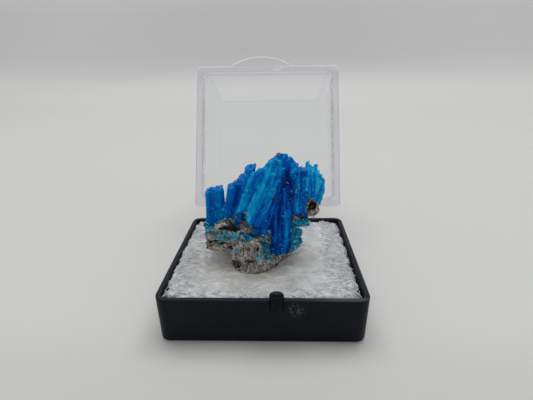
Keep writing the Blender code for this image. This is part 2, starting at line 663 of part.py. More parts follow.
def make_padding(rests_on_it):
    """A pad that fills the tray, hollowed where the specimen presses into it."""
    trees = [shape_tree(obj) for obj in rests_on_it]
    cell = 2 * PAD_HALF / PAD_CELLS
    bm = bmesh.new()
    bmesh.ops.create_grid(bm, x_segments=PAD_CELLS, y_segments=PAD_CELLS, size=1.0)
    for vert in bm.verts:
        u, v = vert.co.x, vert.co.y
        x, y = pad_outline(u, v, PAD_HALF)
        z = pad_height(x, y, u, v)
        for dx in (-cell, 0, cell):
            for dy in (-cell, 0, cell):
                for tree in trees:
                    hit = tree.ray_cast(Vector((x + dx, y + dy, 0)), Vector((0, 0, 1)))[0]
                    if hit is not None:
                        z = min(z, hit.z - GAP)
        vert.co = (x, y, z)
    edges = [edge for edge in bm.edges if edge.is_boundary]
    made = bmesh.ops.extrude_edge_only(bm, edges=edges)
    low = [item for item in made["geom"] if isinstance(item, bmesh.types.BMVert)]
    for vert in low:
        vert.co = (vert.co.x * PAD_FOOT, vert.co.y * PAD_FOOT, PAD_BOTTOM)
    bmesh.ops.contextual_create(bm, geom=[edge for edge in bm.edges if edge.is_boundary])
    return to_object("padding", bm)


def main():
    clear_scene()
    rng = random.Random(SEED)
    tray = make_tray()
    tray.data.materials.append(material("black plastic", BLACK_PLASTIC, 0.35))
    lid = make_lid()
    lid.data.materials.append(material("clear plastic", CLEAR_PLASTIC, 0.08, 1.0, 0.95, 1.49))
    rock = make_rock(rng)
    fragment = make_fragment(rng)
    crystals = make_crystals(rock, fragment, rng)
    padding = make_padding([rock, crystals])
    rock.data.materials.append(material("grey matrix", GREY_ROCK, 0.85))
    fragment.data.materials.append(material("brown matrix", BROWN_ROCK, 0.85))
    crystals.data.materials.append(material("blue crystal", BLUE_CRYSTAL, 0.3))
    padding.data.materials.append(material("white fibre", WHITE_FIBRE, 0.9))


main()
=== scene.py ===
"""The looks of a blue chalcanthite specimen that rests on fibre wadding in a small hinged box.

Shapes are drawn in millimetres, in the frame's own axes: +Z up, -Y to the front, origin under the
tray's middle. Each becomes a mesh in metres whose object sits at the origin.
"""

import math
import random
from collections import namedtuple

import bmesh
import bpy
from mathutils import Matrix, Vector, noise
from mathutils.bvhtree import BVHTree
from mathutils.interpolate import poly_3d_calc


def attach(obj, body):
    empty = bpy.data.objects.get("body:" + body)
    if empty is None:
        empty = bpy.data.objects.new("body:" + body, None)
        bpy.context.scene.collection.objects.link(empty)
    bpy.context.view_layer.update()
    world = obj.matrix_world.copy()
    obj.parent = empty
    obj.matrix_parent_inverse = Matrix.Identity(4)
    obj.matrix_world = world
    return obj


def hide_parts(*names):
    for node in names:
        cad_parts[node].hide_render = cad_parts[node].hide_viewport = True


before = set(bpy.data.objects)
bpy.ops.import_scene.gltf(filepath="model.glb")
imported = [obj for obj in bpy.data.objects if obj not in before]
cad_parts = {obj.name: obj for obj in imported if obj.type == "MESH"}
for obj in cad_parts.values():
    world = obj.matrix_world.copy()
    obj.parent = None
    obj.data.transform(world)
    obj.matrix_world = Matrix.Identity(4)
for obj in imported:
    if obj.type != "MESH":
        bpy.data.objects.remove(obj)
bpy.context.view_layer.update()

MM = 0.001
SEED = 23
SCENE = bpy.context.scene

# Camera, fitted to the photo's 533 x 400 frame
PHOTO_WIDTH = 533
PHOTO_HEIGHT = 400
FOCAL_PIXELS = 406.3
SENSOR = 36.0
CAMERA_PLACE = Vector((4.446, -118.674, 73.131))
CAMERA_PITCH = 19.558    # degrees below the horizon
CAMERA_YAW = -1.806
CAMERA_ROLL = -0.699

# Tray
TRAY_HALF = 28.5
TRAY_HEIGHT = 13.5
TRAY_TAPER = 0.5
TRAY_WALL = 1.4
TRAY_FLOOR = 1.4
TRAY_CORNER = 3.0
TRAY_FOOT = 0.8
POST_X = 3.9
POST_Y = -29.3
POST_RADIUS = 1.9
POST_BOTTOM = 11.6
POST_TOP = 15.8

# Hinge
HINGE_Y = 32.1
HINGE_Z = 13.6
HINGE = (HINGE_Y, HINGE_Z)
OPEN_ANGLE = 113.8
LUG_CENTRES = (-14.0, 14.0)
LUG_WIDTH = 4.0
LUG_RADIUS = 1.7
BORE_RADIUS = 1.15
ARM_WIDTH = 1.8
ARM_RADIUS = 1.6
PIN_RADIUS = 0.8
PIN_DEPTH = 1.6
JOINT_GAP = 0.3

# Lid, as it lies when closed
FLANGE_HALF = 29.0
FLANGE_LOW = 13.8
FLANGE_THICK = 1.8
FLANGE_CORNER = 1.8
LID_TOP = 47.8
LID_WALL = 1.3
LID_HALF_LOW = 27.0
LID_HALF_HIGH = 25.2
LID_CORNER = 3.0
LID_EDGE = 0.9
TAB_X = -2.6
TAB_CHORD = 25.0
TAB_OUT = 3.8
TAB_THICK = 1.4
HOLE_RADIUS = 2.1

# Wadding
PAD_LOW = 1.7
PAD_TOP = 12.5
PAD_HALF = 26.65


# Small tools

def linked(obj):
    SCENE.collection.objects.link(obj)
    return obj


def mesh_object(name, bm):
    """A bmesh drawn in millimetres becomes an object in metres."""
    bmesh.ops.scale(bm, vec=(MM, MM, MM), verts=bm.verts)
    mesh = bpy.data.meshes.new(name)
    bm.to_mesh(mesh)
    bm.free()
    return linked(bpy.data.objects.new(name, mesh))


def bake(obj):
    """Applies an object's modifiers to its mesh."""
    graph = bpy.context.evaluated_depsgraph_get()
    mesh = bpy.data.meshes.new_from_object(obj.evaluated_get(graph))
    obj.modifiers.clear()
    old = obj.data
    obj.data = mesh
    bpy.data.meshes.remove(old)
    return obj


def combine(obj, others, operation):
    for other in others:
        modifier = obj.modifiers.new(operation, "BOOLEAN")
        modifier.operation = operation
        modifier.solver = "EXACT"
        modifier.object = other
    bake(obj)
    for other in others:
        bpy.data.objects.remove(other, do_unlink=True)
    return obj


def round_edges(bm, edges, width, segments, clamp=False):
    bmesh.ops.bevel(
        bm, geom=edges, offset=width, offset_type="OFFSET", affect="EDGES", segments=segments, profile=0.5,
        material=-1, clamp_overlap=clamp,
    )


def new_points(made):
    """The points among what an extrusion made."""
    return [item for item in made["geom"] if isinstance(item, bmesh.types.BMVert)]


def number_layers(bm, *names):
    """New attributes of a mesh's points, one number each."""
    return [bm.verts.layers.float.new(name) for name in names]


def move_points(bm, moves):
    for vert, move in zip(bm.verts, moves):
        vert.co += move


def finish_piece(obj, look, body, replaces=(), sharp=None):
    """Shades a piece, gives it its look, and sets it on its body."""
    obj.data.materials.clear()
    obj.data.materials.append(look)
    obj.data.shade_smooth()
    if sharp is not None:
        obj.data.set_sharp_from_angle(angle=math.radians(sharp))
    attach(obj, body)
    if replaces:
        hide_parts(*replaces)
    return obj


def tree_of(obj):
    """A search tree of an object's faces, in millimetres."""
    points = [vert.co / MM for vert in obj.data.vertices]
    return BVHTree.FromPolygons(points, [list(face.vertices) for face in obj.data.polygons])


def fractal(place, octaves=3):
    """Soft noise around zero, with finer noise added at each octave."""
    total, size, weight = 0.0, 1.0, 1.0
    for _ in range(octaves):
        total += noise.noise(place * size) * weight
        size *= 2.1
        weight *= 0.5
    return total


def camera_axes():
    """The camera's right, up and forward directions."""
    pitch, yaw, roll = (math.radians(angle) for angle in (CAMERA_PITCH, CAMERA_YAW, CAMERA_ROLL))
    forward = Vector((math.sin(yaw) * math.cos(pitch), math.cos(yaw) * math.cos(pitch), -math.sin(pitch)))
    level = Vector((math.cos(yaw), -math.sin(yaw), 0))
    upward = level.cross(forward)
    right = level * math.cos(roll) + upward * math.sin(roll)
    up = upward * math.cos(roll) - level * math.sin(roll)
    return right, up, forward


CAMERA_RIGHT, CAMERA_UP, CAMERA_FORWARD = camera_axes()


def photo_place(point):
    """Where a point in millimetres is seen in the photo's frame, in pixels."""
    away = point - CAMERA_PLACE
    scale = FOCAL_PIXELS / away.dot(CAMERA_FORWARD)
    across, up = away.dot(CAMERA_RIGHT) * scale, away.dot(CAMERA_UP) * scale
    return PHOTO_WIDTH / 2 + across, PHOTO_HEIGHT / 2 - up


def sight_line(x, y):
    """The direction from the camera through a place in the photo's frame."""
    away = CAMERA_RIGHT * (x - PHOTO_WIDTH / 2) + CAMERA_UP * (PHOTO_HEIGHT / 2 - y)
    return (away + CAMERA_FORWARD * FOCAL_PIXELS).normalized()


# Shader tools

def wire(tree, value, socket):
    """Links a value that is a socket, and sets any other; a colour may leave out its alpha of 1."""
    if isinstance(value, bpy.types.NodeSocket):
        tree.links.new(value, socket)
    elif value is not None:
        socket.default_value = (*value, 1.0) if socket.type == "RGBA" and len(value) == 3 else value


def add(tree, kind, settings=None, **inputs):
    """A node with its settings, and its inputs set or linked by name."""
    made = tree.nodes.new(kind)
    for key, value in (settings or {}).items():
        setattr(made, key, value)
    for key, value in inputs.items():
        wire(tree, value, made.inputs[key.replace("_", " ")])
    return made


def maths(tree, operation, *values):
    made = tree.nodes.new("ShaderNodeMath")
    made.operation = operation
    for value, socket in zip(values, made.inputs):
        wire(tree, value, socket)
    return made.outputs[0]


def times(tree, one, other):
    return maths(tree, "MULTIPLY", one, other)


def plus(tree, one, other):
    return maths(tree, "ADD", one, other)


def higher(tree, one, other):
    return maths(tree, "MAXIMUM", one, other)


def size_of(tree, value):
    return maths(tree, "ABSOLUTE", value)


def centred(tree, value, width):
    """A value of 0 to 1, spread to half the width on each side of zero."""
    return maths(tree, "MULTIPLY_ADD", value, width, -width / 2)


def blend_colour(tree, share, low, high, mode="MIX"):
    made = tree.nodes.new("ShaderNodeMix")
    made.data_type = "RGBA"
    made.blend_type = mode
    for value, socket in ((share, made.inputs[0]), (low, made.inputs[6]), (high, made.inputs[7])):
        wire(tree, value, socket)
    return made.outputs[2]


def between(tree, value, low, high, to_low=0.0, to_high=1.0):
    """Maps a value's span to another, and holds it there."""
    made = add(
        tree, "ShaderNodeMapRange", Value=value, From_Min=low, From_Max=high, To_Min=to_low, To_Max=to_high,
    )
    made.interpolation_type = "SMOOTHSTEP"
    return made.outputs[0]


def colours(tree, value, stops):
    """A colour ramp through (position, colour) stops."""
    made = tree.nodes.new("ShaderNodeValToRGB")
    wire(tree, value, made.inputs[0])
    elements = made.color_ramp.elements
    while len(elements) < len(stops):
        elements.new(1.0)
    for element, (position, colour) in zip(elements, stops):
        element.position = position
        element.color = (*colour, 1.0)
    return made.outputs[0]


def clouds(tree, vector, scale, detail=3.0, roughness=0.55, stretch=None):
    """Soft noise of 0 to 1, in features per metre, and stretched along an axis if asked."""
    if stretch is not None:
        vector = add(tree, "ShaderNodeMapping", Vector=vector, Scale=stretch).outputs[0]
    made = add(tree, "ShaderNodeTexNoise", Vector=vector, Scale=scale, Detail=detail, Roughness=roughness)
    return made.outputs[0]


def cells(tree, vector, scale, feature="F1"):
    made = add(tree, "ShaderNodeTexVoronoi", {"feature": feature}, Vector=vector, Scale=scale)
    return made.outputs[0]


def attribute(tree, name, output="Fac"):
    return add(tree, "ShaderNodeAttribute", {"attribute_name": name}).outputs[output]


def object_place(tree):
    return tree.nodes.new("ShaderNodeTexCoord").outputs["Object"]


def new_group(name, inputs, outputs):
    """An empty shader node group and its two ends."""
    group = bpy.data.node_groups.new(name, "ShaderNodeTree")
    for label, kind, value in inputs:
        socket = group.interface.new_socket(label, in_out="INPUT", socket_type="NodeSocket" + kind)
        if value is not None:
            socket.default_value = value
    for label, kind in outputs:
        group.interface.new_socket(label, in_out="OUTPUT", socket_type="NodeSocket" + kind)
    return group, group.nodes.new("NodeGroupInput"), group.nodes.new("NodeGroupOutput")


def make_grain_group():
    """Fine unevenness of a surface, as a normal."""
    group, start, end = new_group(
        "fine grain",
        [("Vector", "Vector", None), ("Scale", "Float", 1000.0), ("Strength", "Float", 0.3),
         ("Depth", "Float", 0.0001)],
        [("Normal", "Vector")],
    )
    broad = clouds(group, start.outputs["Vector"], start.outputs["Scale"], 4.0, 0.65)
    double = times(group, start.outputs["Scale"], 2.7)
    fine = clouds(group, start.outputs["Vector"], double, 2.0, 0.5)
    height = plus(group, broad, times(group, fine, 0.4))
    strength, depth = start.outputs["Strength"], start.outputs["Depth"]
    bump = add(group, "ShaderNodeBump", Height=height, Strength=strength, Distance=depth)
    group.links.new(bump.outputs["Normal"], end.inputs["Normal"])
    return group


def make_mottle_group():
    """Two colours mixed by soft noise."""
    group, start, end = new_group(
        "mottle",
        [("Vector", "Vector", None), ("Scale", "Float", 300.0), ("Sharpness", "Float", 0.2),
         ("Low", "Color", (0, 0, 0, 1)), ("High", "Color", (1, 1, 1, 1))],
        [("Color", "Color")],
    )
    cloud = clouds(group, start.outputs["Vector"], start.outputs["Scale"], 5.0, 0.6)
    low = maths(group, "SUBTRACT", 0.5, start.outputs["Sharpness"])
    high = plus(group, 0.5, start.outputs["Sharpness"])
    mask = between(group, cloud, low, high)
    colour = blend_colour(group, mask, start.outputs["Low"], start.outputs["High"])
    group.links.new(colour, end.inputs["Color"])
    return group


def make_speck_group():
    """Small separate specks, as a mask."""
    group, start, end = new_group(
        "specks",
        [("Vector", "Vector", None), ("Scale", "Float", 900.0), ("Size", "Float", 0.2),
         ("Share", "Float", 0.3)],
        [("Mask", "Float")],
    )
    spot = cells(group, start.outputs["Vector"], start.outputs["Scale"])
    near = maths(group, "LESS_THAN", spot, start.outputs["Size"])
    third = times(group, start.outputs["Scale"], 0.31)
    patch = clouds(group, start.outputs["Vector"], third, 1.0)
    some = maths(group, "LESS_THAN", patch, start.outputs["Share"])
    group.links.new(times(group, near, some), end.inputs["Mask"])
    return group


GRAIN = make_grain_group()
MOTTLE = make_mottle_group()
SPECKS = make_speck_group()


def use(tree, group, **inputs):
    return add(tree, "ShaderNodeGroup", {"node_tree": group}, **inputs).outputs


def new_look(name, **plain):
    """A material, its node tree and its Principled shader, with the plain values set."""
    made = bpy.data.materials.new(name)
    made.use_nodes = True
    tree = made.node_tree
    shader = tree.nodes["Principled BSDF"]
    for key, value in plain.items():
        shader.inputs[key.replace("_", " ")].default_value = value
    return made, tree, shader.inputs


# Looks

CRYSTAL_RAMP = (
    (0.00, (0.000, 0.017, 0.150)),
    (0.25, (0.000, 0.064, 0.385)),
    (0.50, (0.000, 0.163, 0.620)),
    (0.75, (0.000, 0.360, 0.790)),
    (1.00, (0.030, 0.610, 0.940)),
)
CRUST_RAMP = (
    (0.00, (0.000, 0.046, 0.155)),
    (0.30, (0.000, 0.215, 0.410)),
    (0.62, (0.012, 0.460, 0.670)),
    (1.00, (0.240, 0.720, 0.790)),
)


def crystal_look():
    look, tree, inputs = new_look("blue crystal", IOR=1.53, Specular_IOR_Level=0.05)
    tone = attribute(tree, "tone")
    grain = attribute(tree, "grain", "Vector")
    streak = clouds(tree, grain, 1.0, 4.0, 0.6, stretch=(1.15, 1.15, 0.10))
    fine_streak = clouds(tree, grain, 1.0, 2.0, 0.5, stretch=(6.0, 6.0, 0.45))
    place = object_place(tree)
    cloud = clouds(tree, place, 420.0, 4.0)
    sugar = clouds(tree, place, 1700.0, 3.0, 0.6)
    grainy = attribute(tree, "grainy")
    lines = plus(tree, centred(tree, streak, 1.25), centred(tree, fine_streak, 0.34))
    value = plus(tree, tone, times(tree, lines, attribute(tree, "lined")))
    value = plus(tree, value, centred(tree, cloud, 0.50))
    speckle = times(tree, centred(tree, sugar, 1.0), maths(tree, "MULTIPLY_ADD", grainy, 0.9, 0.15))
    value = plus(tree, value, speckle)
    tree.links.new(colours(tree, value, CRYSTAL_RAMP), inputs["Base Color"])
    tree.links.new(maths(tree, "MULTIPLY_ADD", streak, 0.3, 0.28), inputs["Roughness"])
    height = plus(tree, streak, times(tree, fine_streak, 0.6))
    height = plus(tree, height, times(tree, sugar, 0.7))
    bump = add(tree, "ShaderNodeBump", Height=height, Strength=0.5, Distance=0.0002)
    tree.links.new(bump.outputs["Normal"], inputs["Normal"])
    return look


def crust_look():
    look, tree, inputs = new_look("turquoise crust", Roughness=0.5, Specular_IOR_Level=0.15)
    place = object_place(tree)
    tone = attribute(tree, "tone")
    cloud = clouds(tree, place, 1100.0, 4.0, 0.65)
    value = plus(tree, tone, maths(tree, "MULTIPLY_ADD", cloud, 1.3, -0.62))
    tree.links.new(colours(tree, value, CRUST_RAMP), inputs["Base Color"])
    normal = use(tree, GRAIN, Vector=place, Scale=2600.0, Strength=0.5, Depth=0.00015)["Normal"]
    tree.links.new(normal, inputs["Normal"])
    return look


def rock_look(name, pale, dark, fissure_and_shade):
    look, tree, inputs = new_look(name, Roughness=0.85, Specular_IOR_Level=0.2)
    place = object_place(tree)
    lined = add(tree, "ShaderNodeMapping", Vector=place, Rotation=(0, math.radians(32), 0)).outputs[0]
    colour = use(tree, MOTTLE, Vector=place, Scale=420.0, Sharpness=0.09, Low=dark, High=pale)["Color"]
    strands = clouds(tree, lined, 1.0, 5.0, 0.7, stretch=(1500.0, 1500.0, 360.0))
    shade = between(tree, strands, 0.40, 0.56, 0.22, 1.08)
    colour = blend_colour(tree, 1.0, colour, shade, "MULTIPLY")
    white = use(tree, SPECKS, Vector=place, Scale=1900.0, Size=0.30, Share=0.49)["Mask"]
    colour = blend_colour(tree, times(tree, white, 0.7), colour, (0.80, 0.75, 0.68))
    rust = use(tree, SPECKS, Vector=place, Scale=1500.0, Size=0.22, Share=0.40)["Mask"]
    colour = blend_colour(tree, times(tree, rust, 0.8), colour, (0.10, 0.045, 0.022))
    # Paler on the marked ledges and on parts of the brown grains.
    colour = blend_colour(tree, attribute(tree, "lightened"), colour, (0.50, 0.47, 0.41), "SCREEN")
    # Darker in fissures and hollows: the rock's own dark cracks, and painted shade in the marked hollows.
    crack_and_shade = between(tree, attribute(tree, "fissure_and_shade"), 0.25, 0.80)
    colour = blend_colour(tree, crack_and_shade, colour, fissure_and_shade)
    stain = attribute(tree, "stain")
    spread_noise = clouds(tree, place, 1100.0, 4.0, 0.65)
    patch = between(tree, plus(tree, spread_noise, stain), 1.02, 1.16)
    turquoise = use(tree, MOTTLE, Vector=place, Scale=1500.0, Sharpness=0.12,
                    Low=(0.014, 0.11, 0.15), High=(0.33, 0.60, 0.59))["Color"]
    gritty = between(tree, cells(tree, place, 1500.0), 0.30, 0.75, 1.0, 0.25)
    turquoise = blend_colour(tree, 1.0, turquoise, gritty, "MULTIPLY")
    colour = blend_colour(tree, times(tree, patch, 0.9), colour, turquoise)
    tree.links.new(colour, inputs["Base Color"])
    normal = use(tree, GRAIN, Vector=place, Scale=1900.0, Strength=1.0, Depth=0.0004)["Normal"]
    tree.links.new(normal, inputs["Normal"])
    return look


def wadding_look():
    look, tree, inputs = new_look(
        "fibre wadding", Roughness=0.7, Specular_IOR_Level=0.3, Sheen_Weight=0.1, Subsurface_Weight=0.5,
        Subsurface_Radius=(1.0, 1.0, 1.0), Subsurface_Scale=0.0015,
    )
    place = object_place(tree)
    colour = use(tree, MOTTLE, Vector=place, Scale=170.0, Sharpness=0.22,
                 Low=(0.62, 0.625, 0.615), High=(0.86, 0.875, 0.885))["Color"]
    fine = use(tree, MOTTLE, Vector=place, Scale=600.0, Sharpness=0.30,
               Low=(0.88, 0.885, 0.885), High=(1, 1, 1))["Color"]
    colour = blend_colour(tree, 0.8, colour, fine, "MULTIPLY")
    # Painted light, which lifts the shade under and beside the rock.
    colour = blend_colour(tree, attribute(tree, "pale"), colour, (0.97, 0.965, 0.94))
    # Painted shadow in front of the rock.
    colour = blend_colour(tree, attribute(tree, "dim"), colour, (0.72, 0.71, 0.68), "MULTIPLY")
    # Warmer and a little darker near the rock: dust from it, and painted shade around its base.
    colour = blend_colour(tree, attribute(tree, "dust_and_shade"), colour, (0.99, 0.955, 0.89), "MULTIPLY")
    # Painted shade in the low places of the wadding.
    colour = blend_colour(tree, times(tree, attribute(tree, "painted_crease_shade"), 0.6), colour, (0.26, 0.27, 0.29))
    tree.links.new(colour, inputs["Base Color"])
    normal = use(tree, GRAIN, Vector=place, Scale=700.0, Strength=0.22, Depth=0.0005)["Normal"]
    tree.links.new(normal, inputs["Normal"])
    return look


def strand_look():
    look, tree, inputs = new_look("loose fibres", Roughness=0.35, Specular_IOR_Level=0.6)
    place = object_place(tree)
    colour = use(tree, MOTTLE, Vector=place, Scale=300.0, Sharpness=0.25,
                 Low=(0.68, 0.69, 0.70), High=(0.90, 0.92, 0.94))["Color"]
    # Painted glints: near-white specks.
    colour = blend_colour(tree, attribute(tree, "painted_glint"), colour, (1.0, 0.97, 0.90))
    tree.links.new(colour, inputs["Base Color"])
    return look


SCUFF_PLACE = Vector((8.9, -TRAY_HALF, 10.5))


def tray_look():
    look, tree, inputs = new_look("black plastic", Specular_IOR_Level=0.14)
    place = object_place(tree)
    split = add(tree, "ShaderNodeSeparateXYZ", Vector=place).outputs
    colour = use(tree, MOTTLE, Vector=place, Scale=120.0, Sharpness=0.3,
                 Low=(0.0044, 0.0056, 0.0104), High=(0.0066, 0.0080, 0.0137))["Color"]
    # Painted highlight: a lighter band just under the top of the rim.
    rim_highlight = between(tree, split["Z"], (TRAY_HEIGHT - 0.45) * MM, (TRAY_HEIGHT - 0.1) * MM)
    colour = blend_colour(tree, times(tree, rim_highlight, 0.6), colour, (0.022, 0.025, 0.031))
    # Paler along the front rim towards the right corner.
    corner = between(tree, split["X"], 10.0 * MM, 22.0 * MM)
    front = between(tree, split["Y"], -(TRAY_HALF - 1.6) * MM, -(TRAY_HALF - 0.9) * MM)
    pale_corner_rim = times(tree, times(tree, corner, front), times(tree, rim_highlight, 0.8))
    colour = blend_colour(tree, pale_corner_rim, colour, (0.075, 0.080, 0.095))
    # Painted shade: the post, which stands out in front of the wall, is coloured darker than the rest of the
    # plastic.
    post = between(tree, split["Y"], -(TRAY_HALF + 0.2) * MM, -(TRAY_HALF + 0.8) * MM)
    colour = blend_colour(tree, post, colour, (0.0010, 0.0016, 0.0040))
    away = add(tree, "ShaderNodeVectorMath", {"operation": "DISTANCE"})
    tree.links.new(place, away.inputs[0])
    away.inputs[1].default_value = SCUFF_PLACE * MM
    near = between(tree, away.outputs["Value"], 0.6 * MM, 3.0 * MM, 1.0, 0.0)
    scratch = clouds(tree, place, 1700.0, 4.0, 0.7)
    scuff = times(tree, near, between(tree, scratch, 0.50, 0.62, 0.0, 1.5))
    lint = use(tree, SPECKS, Vector=place, Scale=900.0, Size=0.13, Share=0.42)["Mask"]
    scuff = higher(tree, scuff, times(tree, lint, 0.25))
    colour = blend_colour(tree, times(tree, scuff, 0.5), colour, (0.16, 0.16, 0.17))
    tree.links.new(colour, inputs["Base Color"])
    haze = clouds(tree, place, 240.0, 4.0)
    tree.links.new(maths(tree, "MULTIPLY_ADD", haze, 0.22, 0.30), inputs["Roughness"])
    normal = use(tree, GRAIN, Vector=place, Scale=2400.0, Strength=0.10, Depth=0.00006)["Normal"]
    tree.links.new(normal, inputs["Normal"])
    return look


# How clear the lid's plastic is, where light passes through each of its places.
TAB_TINT = (0.975, 0.970, 0.985)
SIDE_TINT = (0.930, 0.934, 0.962)
FRONT_TINT = (0.972, 0.974, 0.995)
CORNER_TINT = (0.865, 0.870, 0.892)
SIDE_FLANGE_TINT = (0.805, 0.815, 0.865)
FRONT_FLANGE_TINT = (0.925, 0.922, 0.968)


def lid_look():
    look, tree, inputs = new_look("clear plastic", IOR=1.045, Transmission_Weight=1.0)
    place = attribute(tree, "closed_place", "Vector")
    split = add(tree, "ShaderNodeSeparateXYZ", Vector=place).outputs
    flange_top = FLANGE_LOW + FLANGE_THICK
    flange = between(tree, split["Z"], flange_top * MM, (flange_top + 0.8) * MM, 1.0, 0.0)
    tab = between(tree, split["Y"], -(FLANGE_HALF + 0.2) * MM, -(FLANGE_HALF + 0.7) * MM)
    clear = use(tree, MOTTLE, Vector=place, Scale=60.0, Sharpness=0.4,
                Low=(0.905, 0.922, 0.935), High=(0.930, 0.944, 0.955))["Color"]
    side = between(tree, size_of(tree, split["X"]), (LID_HALF_HIGH - 1.2) * MM, LID_HALF_HIGH * MM)
    clear = blend_colour(tree, side, clear, SIDE_TINT)
    front = between(tree, split["Y"], -(LID_HALF_HIGH - 1.2) * MM, -LID_HALF_HIGH * MM)
    clear = blend_colour(tree, front, clear, FRONT_TINT)
    near_top = between(tree, split["Z"], (LID_TOP - 1.8) * MM, (LID_TOP - 0.4) * MM)
    turned = times(tree, higher(tree, side, front), near_top)
    draft = 2 * (LID_HALF_LOW - LID_HALF_HIGH) / (LID_TOP - FLANGE_LOW)
    across = plus(tree, size_of(tree, split["X"]), size_of(tree, split["Y"]))
    across = plus(tree, across, times(tree, split["Z"], draft))
    furthest = 2 * LID_HALF_HIGH + draft * LID_TOP
    corner = between(tree, across, (furthest - 3.4) * MM, (furthest - 2.3) * MM)
    edge = higher(tree, corner, turned)
    clear = blend_colour(tree, edge, clear, CORNER_TINT)
    front_flange = between(tree, split["Y"], -(LID_HALF_LOW - 0.6) * MM, -LID_HALF_LOW * MM)
    tint = blend_colour(tree, front_flange, SIDE_FLANGE_TINT, FRONT_FLANGE_TINT)
    colour = blend_colour(tree, flange, clear, tint)
    tree.links.new(blend_colour(tree, tab, colour, TAB_TINT), inputs["Base Color"])
    haze = clouds(tree, place, 300.0, 4.0)
    tree.links.new(maths(tree, "MULTIPLY_ADD", haze, 0.06, 0.20), inputs["Roughness"])
    return look


# Tray and lid

def rounded_box(half_low, half_high, low, high, corner, edge_low=0.0, edge_high=0.0, steps=10):
    """A square box with rounded upright corners, narrower at one end, and eased edges at its ends."""
    bm = bmesh.new()
    bmesh.ops.create_cube(bm, size=2.0)
    for vert in bm.verts:
        upper = vert.co.z > 0
        half = half_high if upper else half_low
        vert.co = Vector((vert.co.x * half, vert.co.y * half, high if upper else low))
    upright = [edge for edge in bm.edges if abs(edge.verts[0].co.z - edge.verts[1].co.z) > 0.1]
    round_edges(bm, upright, corner, steps)
    for level, ease in ((low, edge_low), (high, edge_high)):
        if ease > 0:
            ring = [edge for edge in bm.edges if all(abs(vert.co.z - level) < 1e-4 for vert in edge.verts)]
            round_edges(bm, ring, ease, 5)
    bmesh.ops.recalc_face_normals(bm, faces=bm.faces)
    return bm


def cylinder(radius, start, end, sides, ease=0.0):
    bm = bmesh.new()
    axis = Vector(end) - Vector(start)
    turn = axis.to_track_quat("Z", "Y").to_matrix().to_4x4()
    place = Matrix.Translation((Vector(start) + Vector(end)) / 2) @ turn
    bmesh.ops.create_cone(
        bm, cap_ends=True, segments=sides, radius1=radius, radius2=radius, depth=axis.length, matrix=place,
    )
    if ease > 0:
        top = max(bm.faces, key=lambda face: face.calc_center_median().dot(axis))
        round_edges(bm, list(top.edges), ease, 4)
    return bm


def side_profile(points, start, width):
    """A flat shape in the Y-Z plane, extruded along X."""
    bm = bmesh.new()
    face = bm.faces.new([bm.verts.new((start, y, z)) for y, z in points])
    made = bmesh.ops.extrude_face_region(bm, geom=[face])
    bmesh.ops.translate(bm, vec=(width, 0, 0), verts=new_points(made))
    bmesh.ops.recalc_face_normals(bm, faces=bm.faces)
    return bm


def arc(centre, radius, start, end, steps):
    """Points on an arc in the Y-Z plane; angles in degrees from +Y towards +Z."""
    angles = [math.radians(start + (end - start) * step / steps) for step in range(steps + 1)]
    return [(centre[0] + radius * math.cos(a), centre[1] + radius * math.sin(a)) for a in angles]


def ease_edges(obj, width, chosen):
    """Rounds the chosen sharp edges of a finished solid; chosen reads an edge's middle, in millimetres."""
    bm = bmesh.new()
    bm.from_mesh(obj.data)
    found = []
    for edge in bm.edges:
        middle = (edge.verts[0].co + edge.verts[1].co) / 2 / MM
        if len(edge.link_faces) == 2 and edge.calc_face_angle() > math.radians(50) and chosen(middle):
            found.append(edge)
    round_edges(bm, found, width * MM, 3, clamp=True)
    bm.to_mesh(obj.data)
    bm.free()


def latch_post():
    """An upright peg with an eased top that is a little dished."""
    bm = cylinder(POST_RADIUS, (POST_X, POST_Y, POST_BOTTOM), (POST_X, POST_Y, POST_TOP), 48, ease=0.35)
    top = max(bm.faces, key=lambda face: face.calc_center_median().z)
    bmesh.ops.inset_region(bm, faces=[top], thickness=0.25, depth=0)
    bmesh.ops.inset_region(bm, faces=[top], thickness=0.35, depth=-0.18)
    return bm


def hinge_lug(x):
    outline = [(TRAY_HALF - 0.7, 7.6), (TRAY_HALF - 0.7, 12.9), (TRAY_HALF + 0.9, 12.9)]
    outline += arc(HINGE, LUG_RADIUS, 130, -50, 18)
    outline.append((TRAY_HALF + 0.9, 8.5))
    return side_profile(outline, x - LUG_WIDTH / 2, LUG_WIDTH)


def make_tray():
    bottom = TRAY_HALF - TRAY_TAPER
    outside = rounded_box(bottom, TRAY_HALF, 0, TRAY_HEIGHT, TRAY_CORNER, edge_low=TRAY_FOOT)
    tray = mesh_object("tray_moulding", outside)
    inside = rounded_box(
        bottom - TRAY_WALL, TRAY_HALF - TRAY_WALL + 0.05, TRAY_FLOOR, TRAY_HEIGHT + 1,
        TRAY_CORNER - TRAY_WALL, edge_low=TRAY_FOOT,
    )
    combine(tray, [mesh_object("inside", inside)], "DIFFERENCE")
    ease_edges(tray, 0.28, lambda middle: middle.z > TRAY_HEIGHT - 0.05)
    extras = [mesh_object("post", latch_post())] + [mesh_object("lug", hinge_lug(x)) for x in LUG_CENTRES]
    combine(tray, extras, "UNION")
    bores = []
    for x in LUG_CENTRES:
        reach = Vector((LUG_WIDTH, 0, 0))
        centre = Vector((x, HINGE_Y, HINGE_Z))
        bores.append(mesh_object("bore", cylinder(BORE_RADIUS, centre - reach, centre + reach, 32)))
    combine(tray, bores, "DIFFERENCE")
    ease_edges(tray, 0.12, lambda middle: middle.y > TRAY_HALF + 1.2)
    return finish_piece(tray, tray_look(), "box", ["tray"], sharp=40)


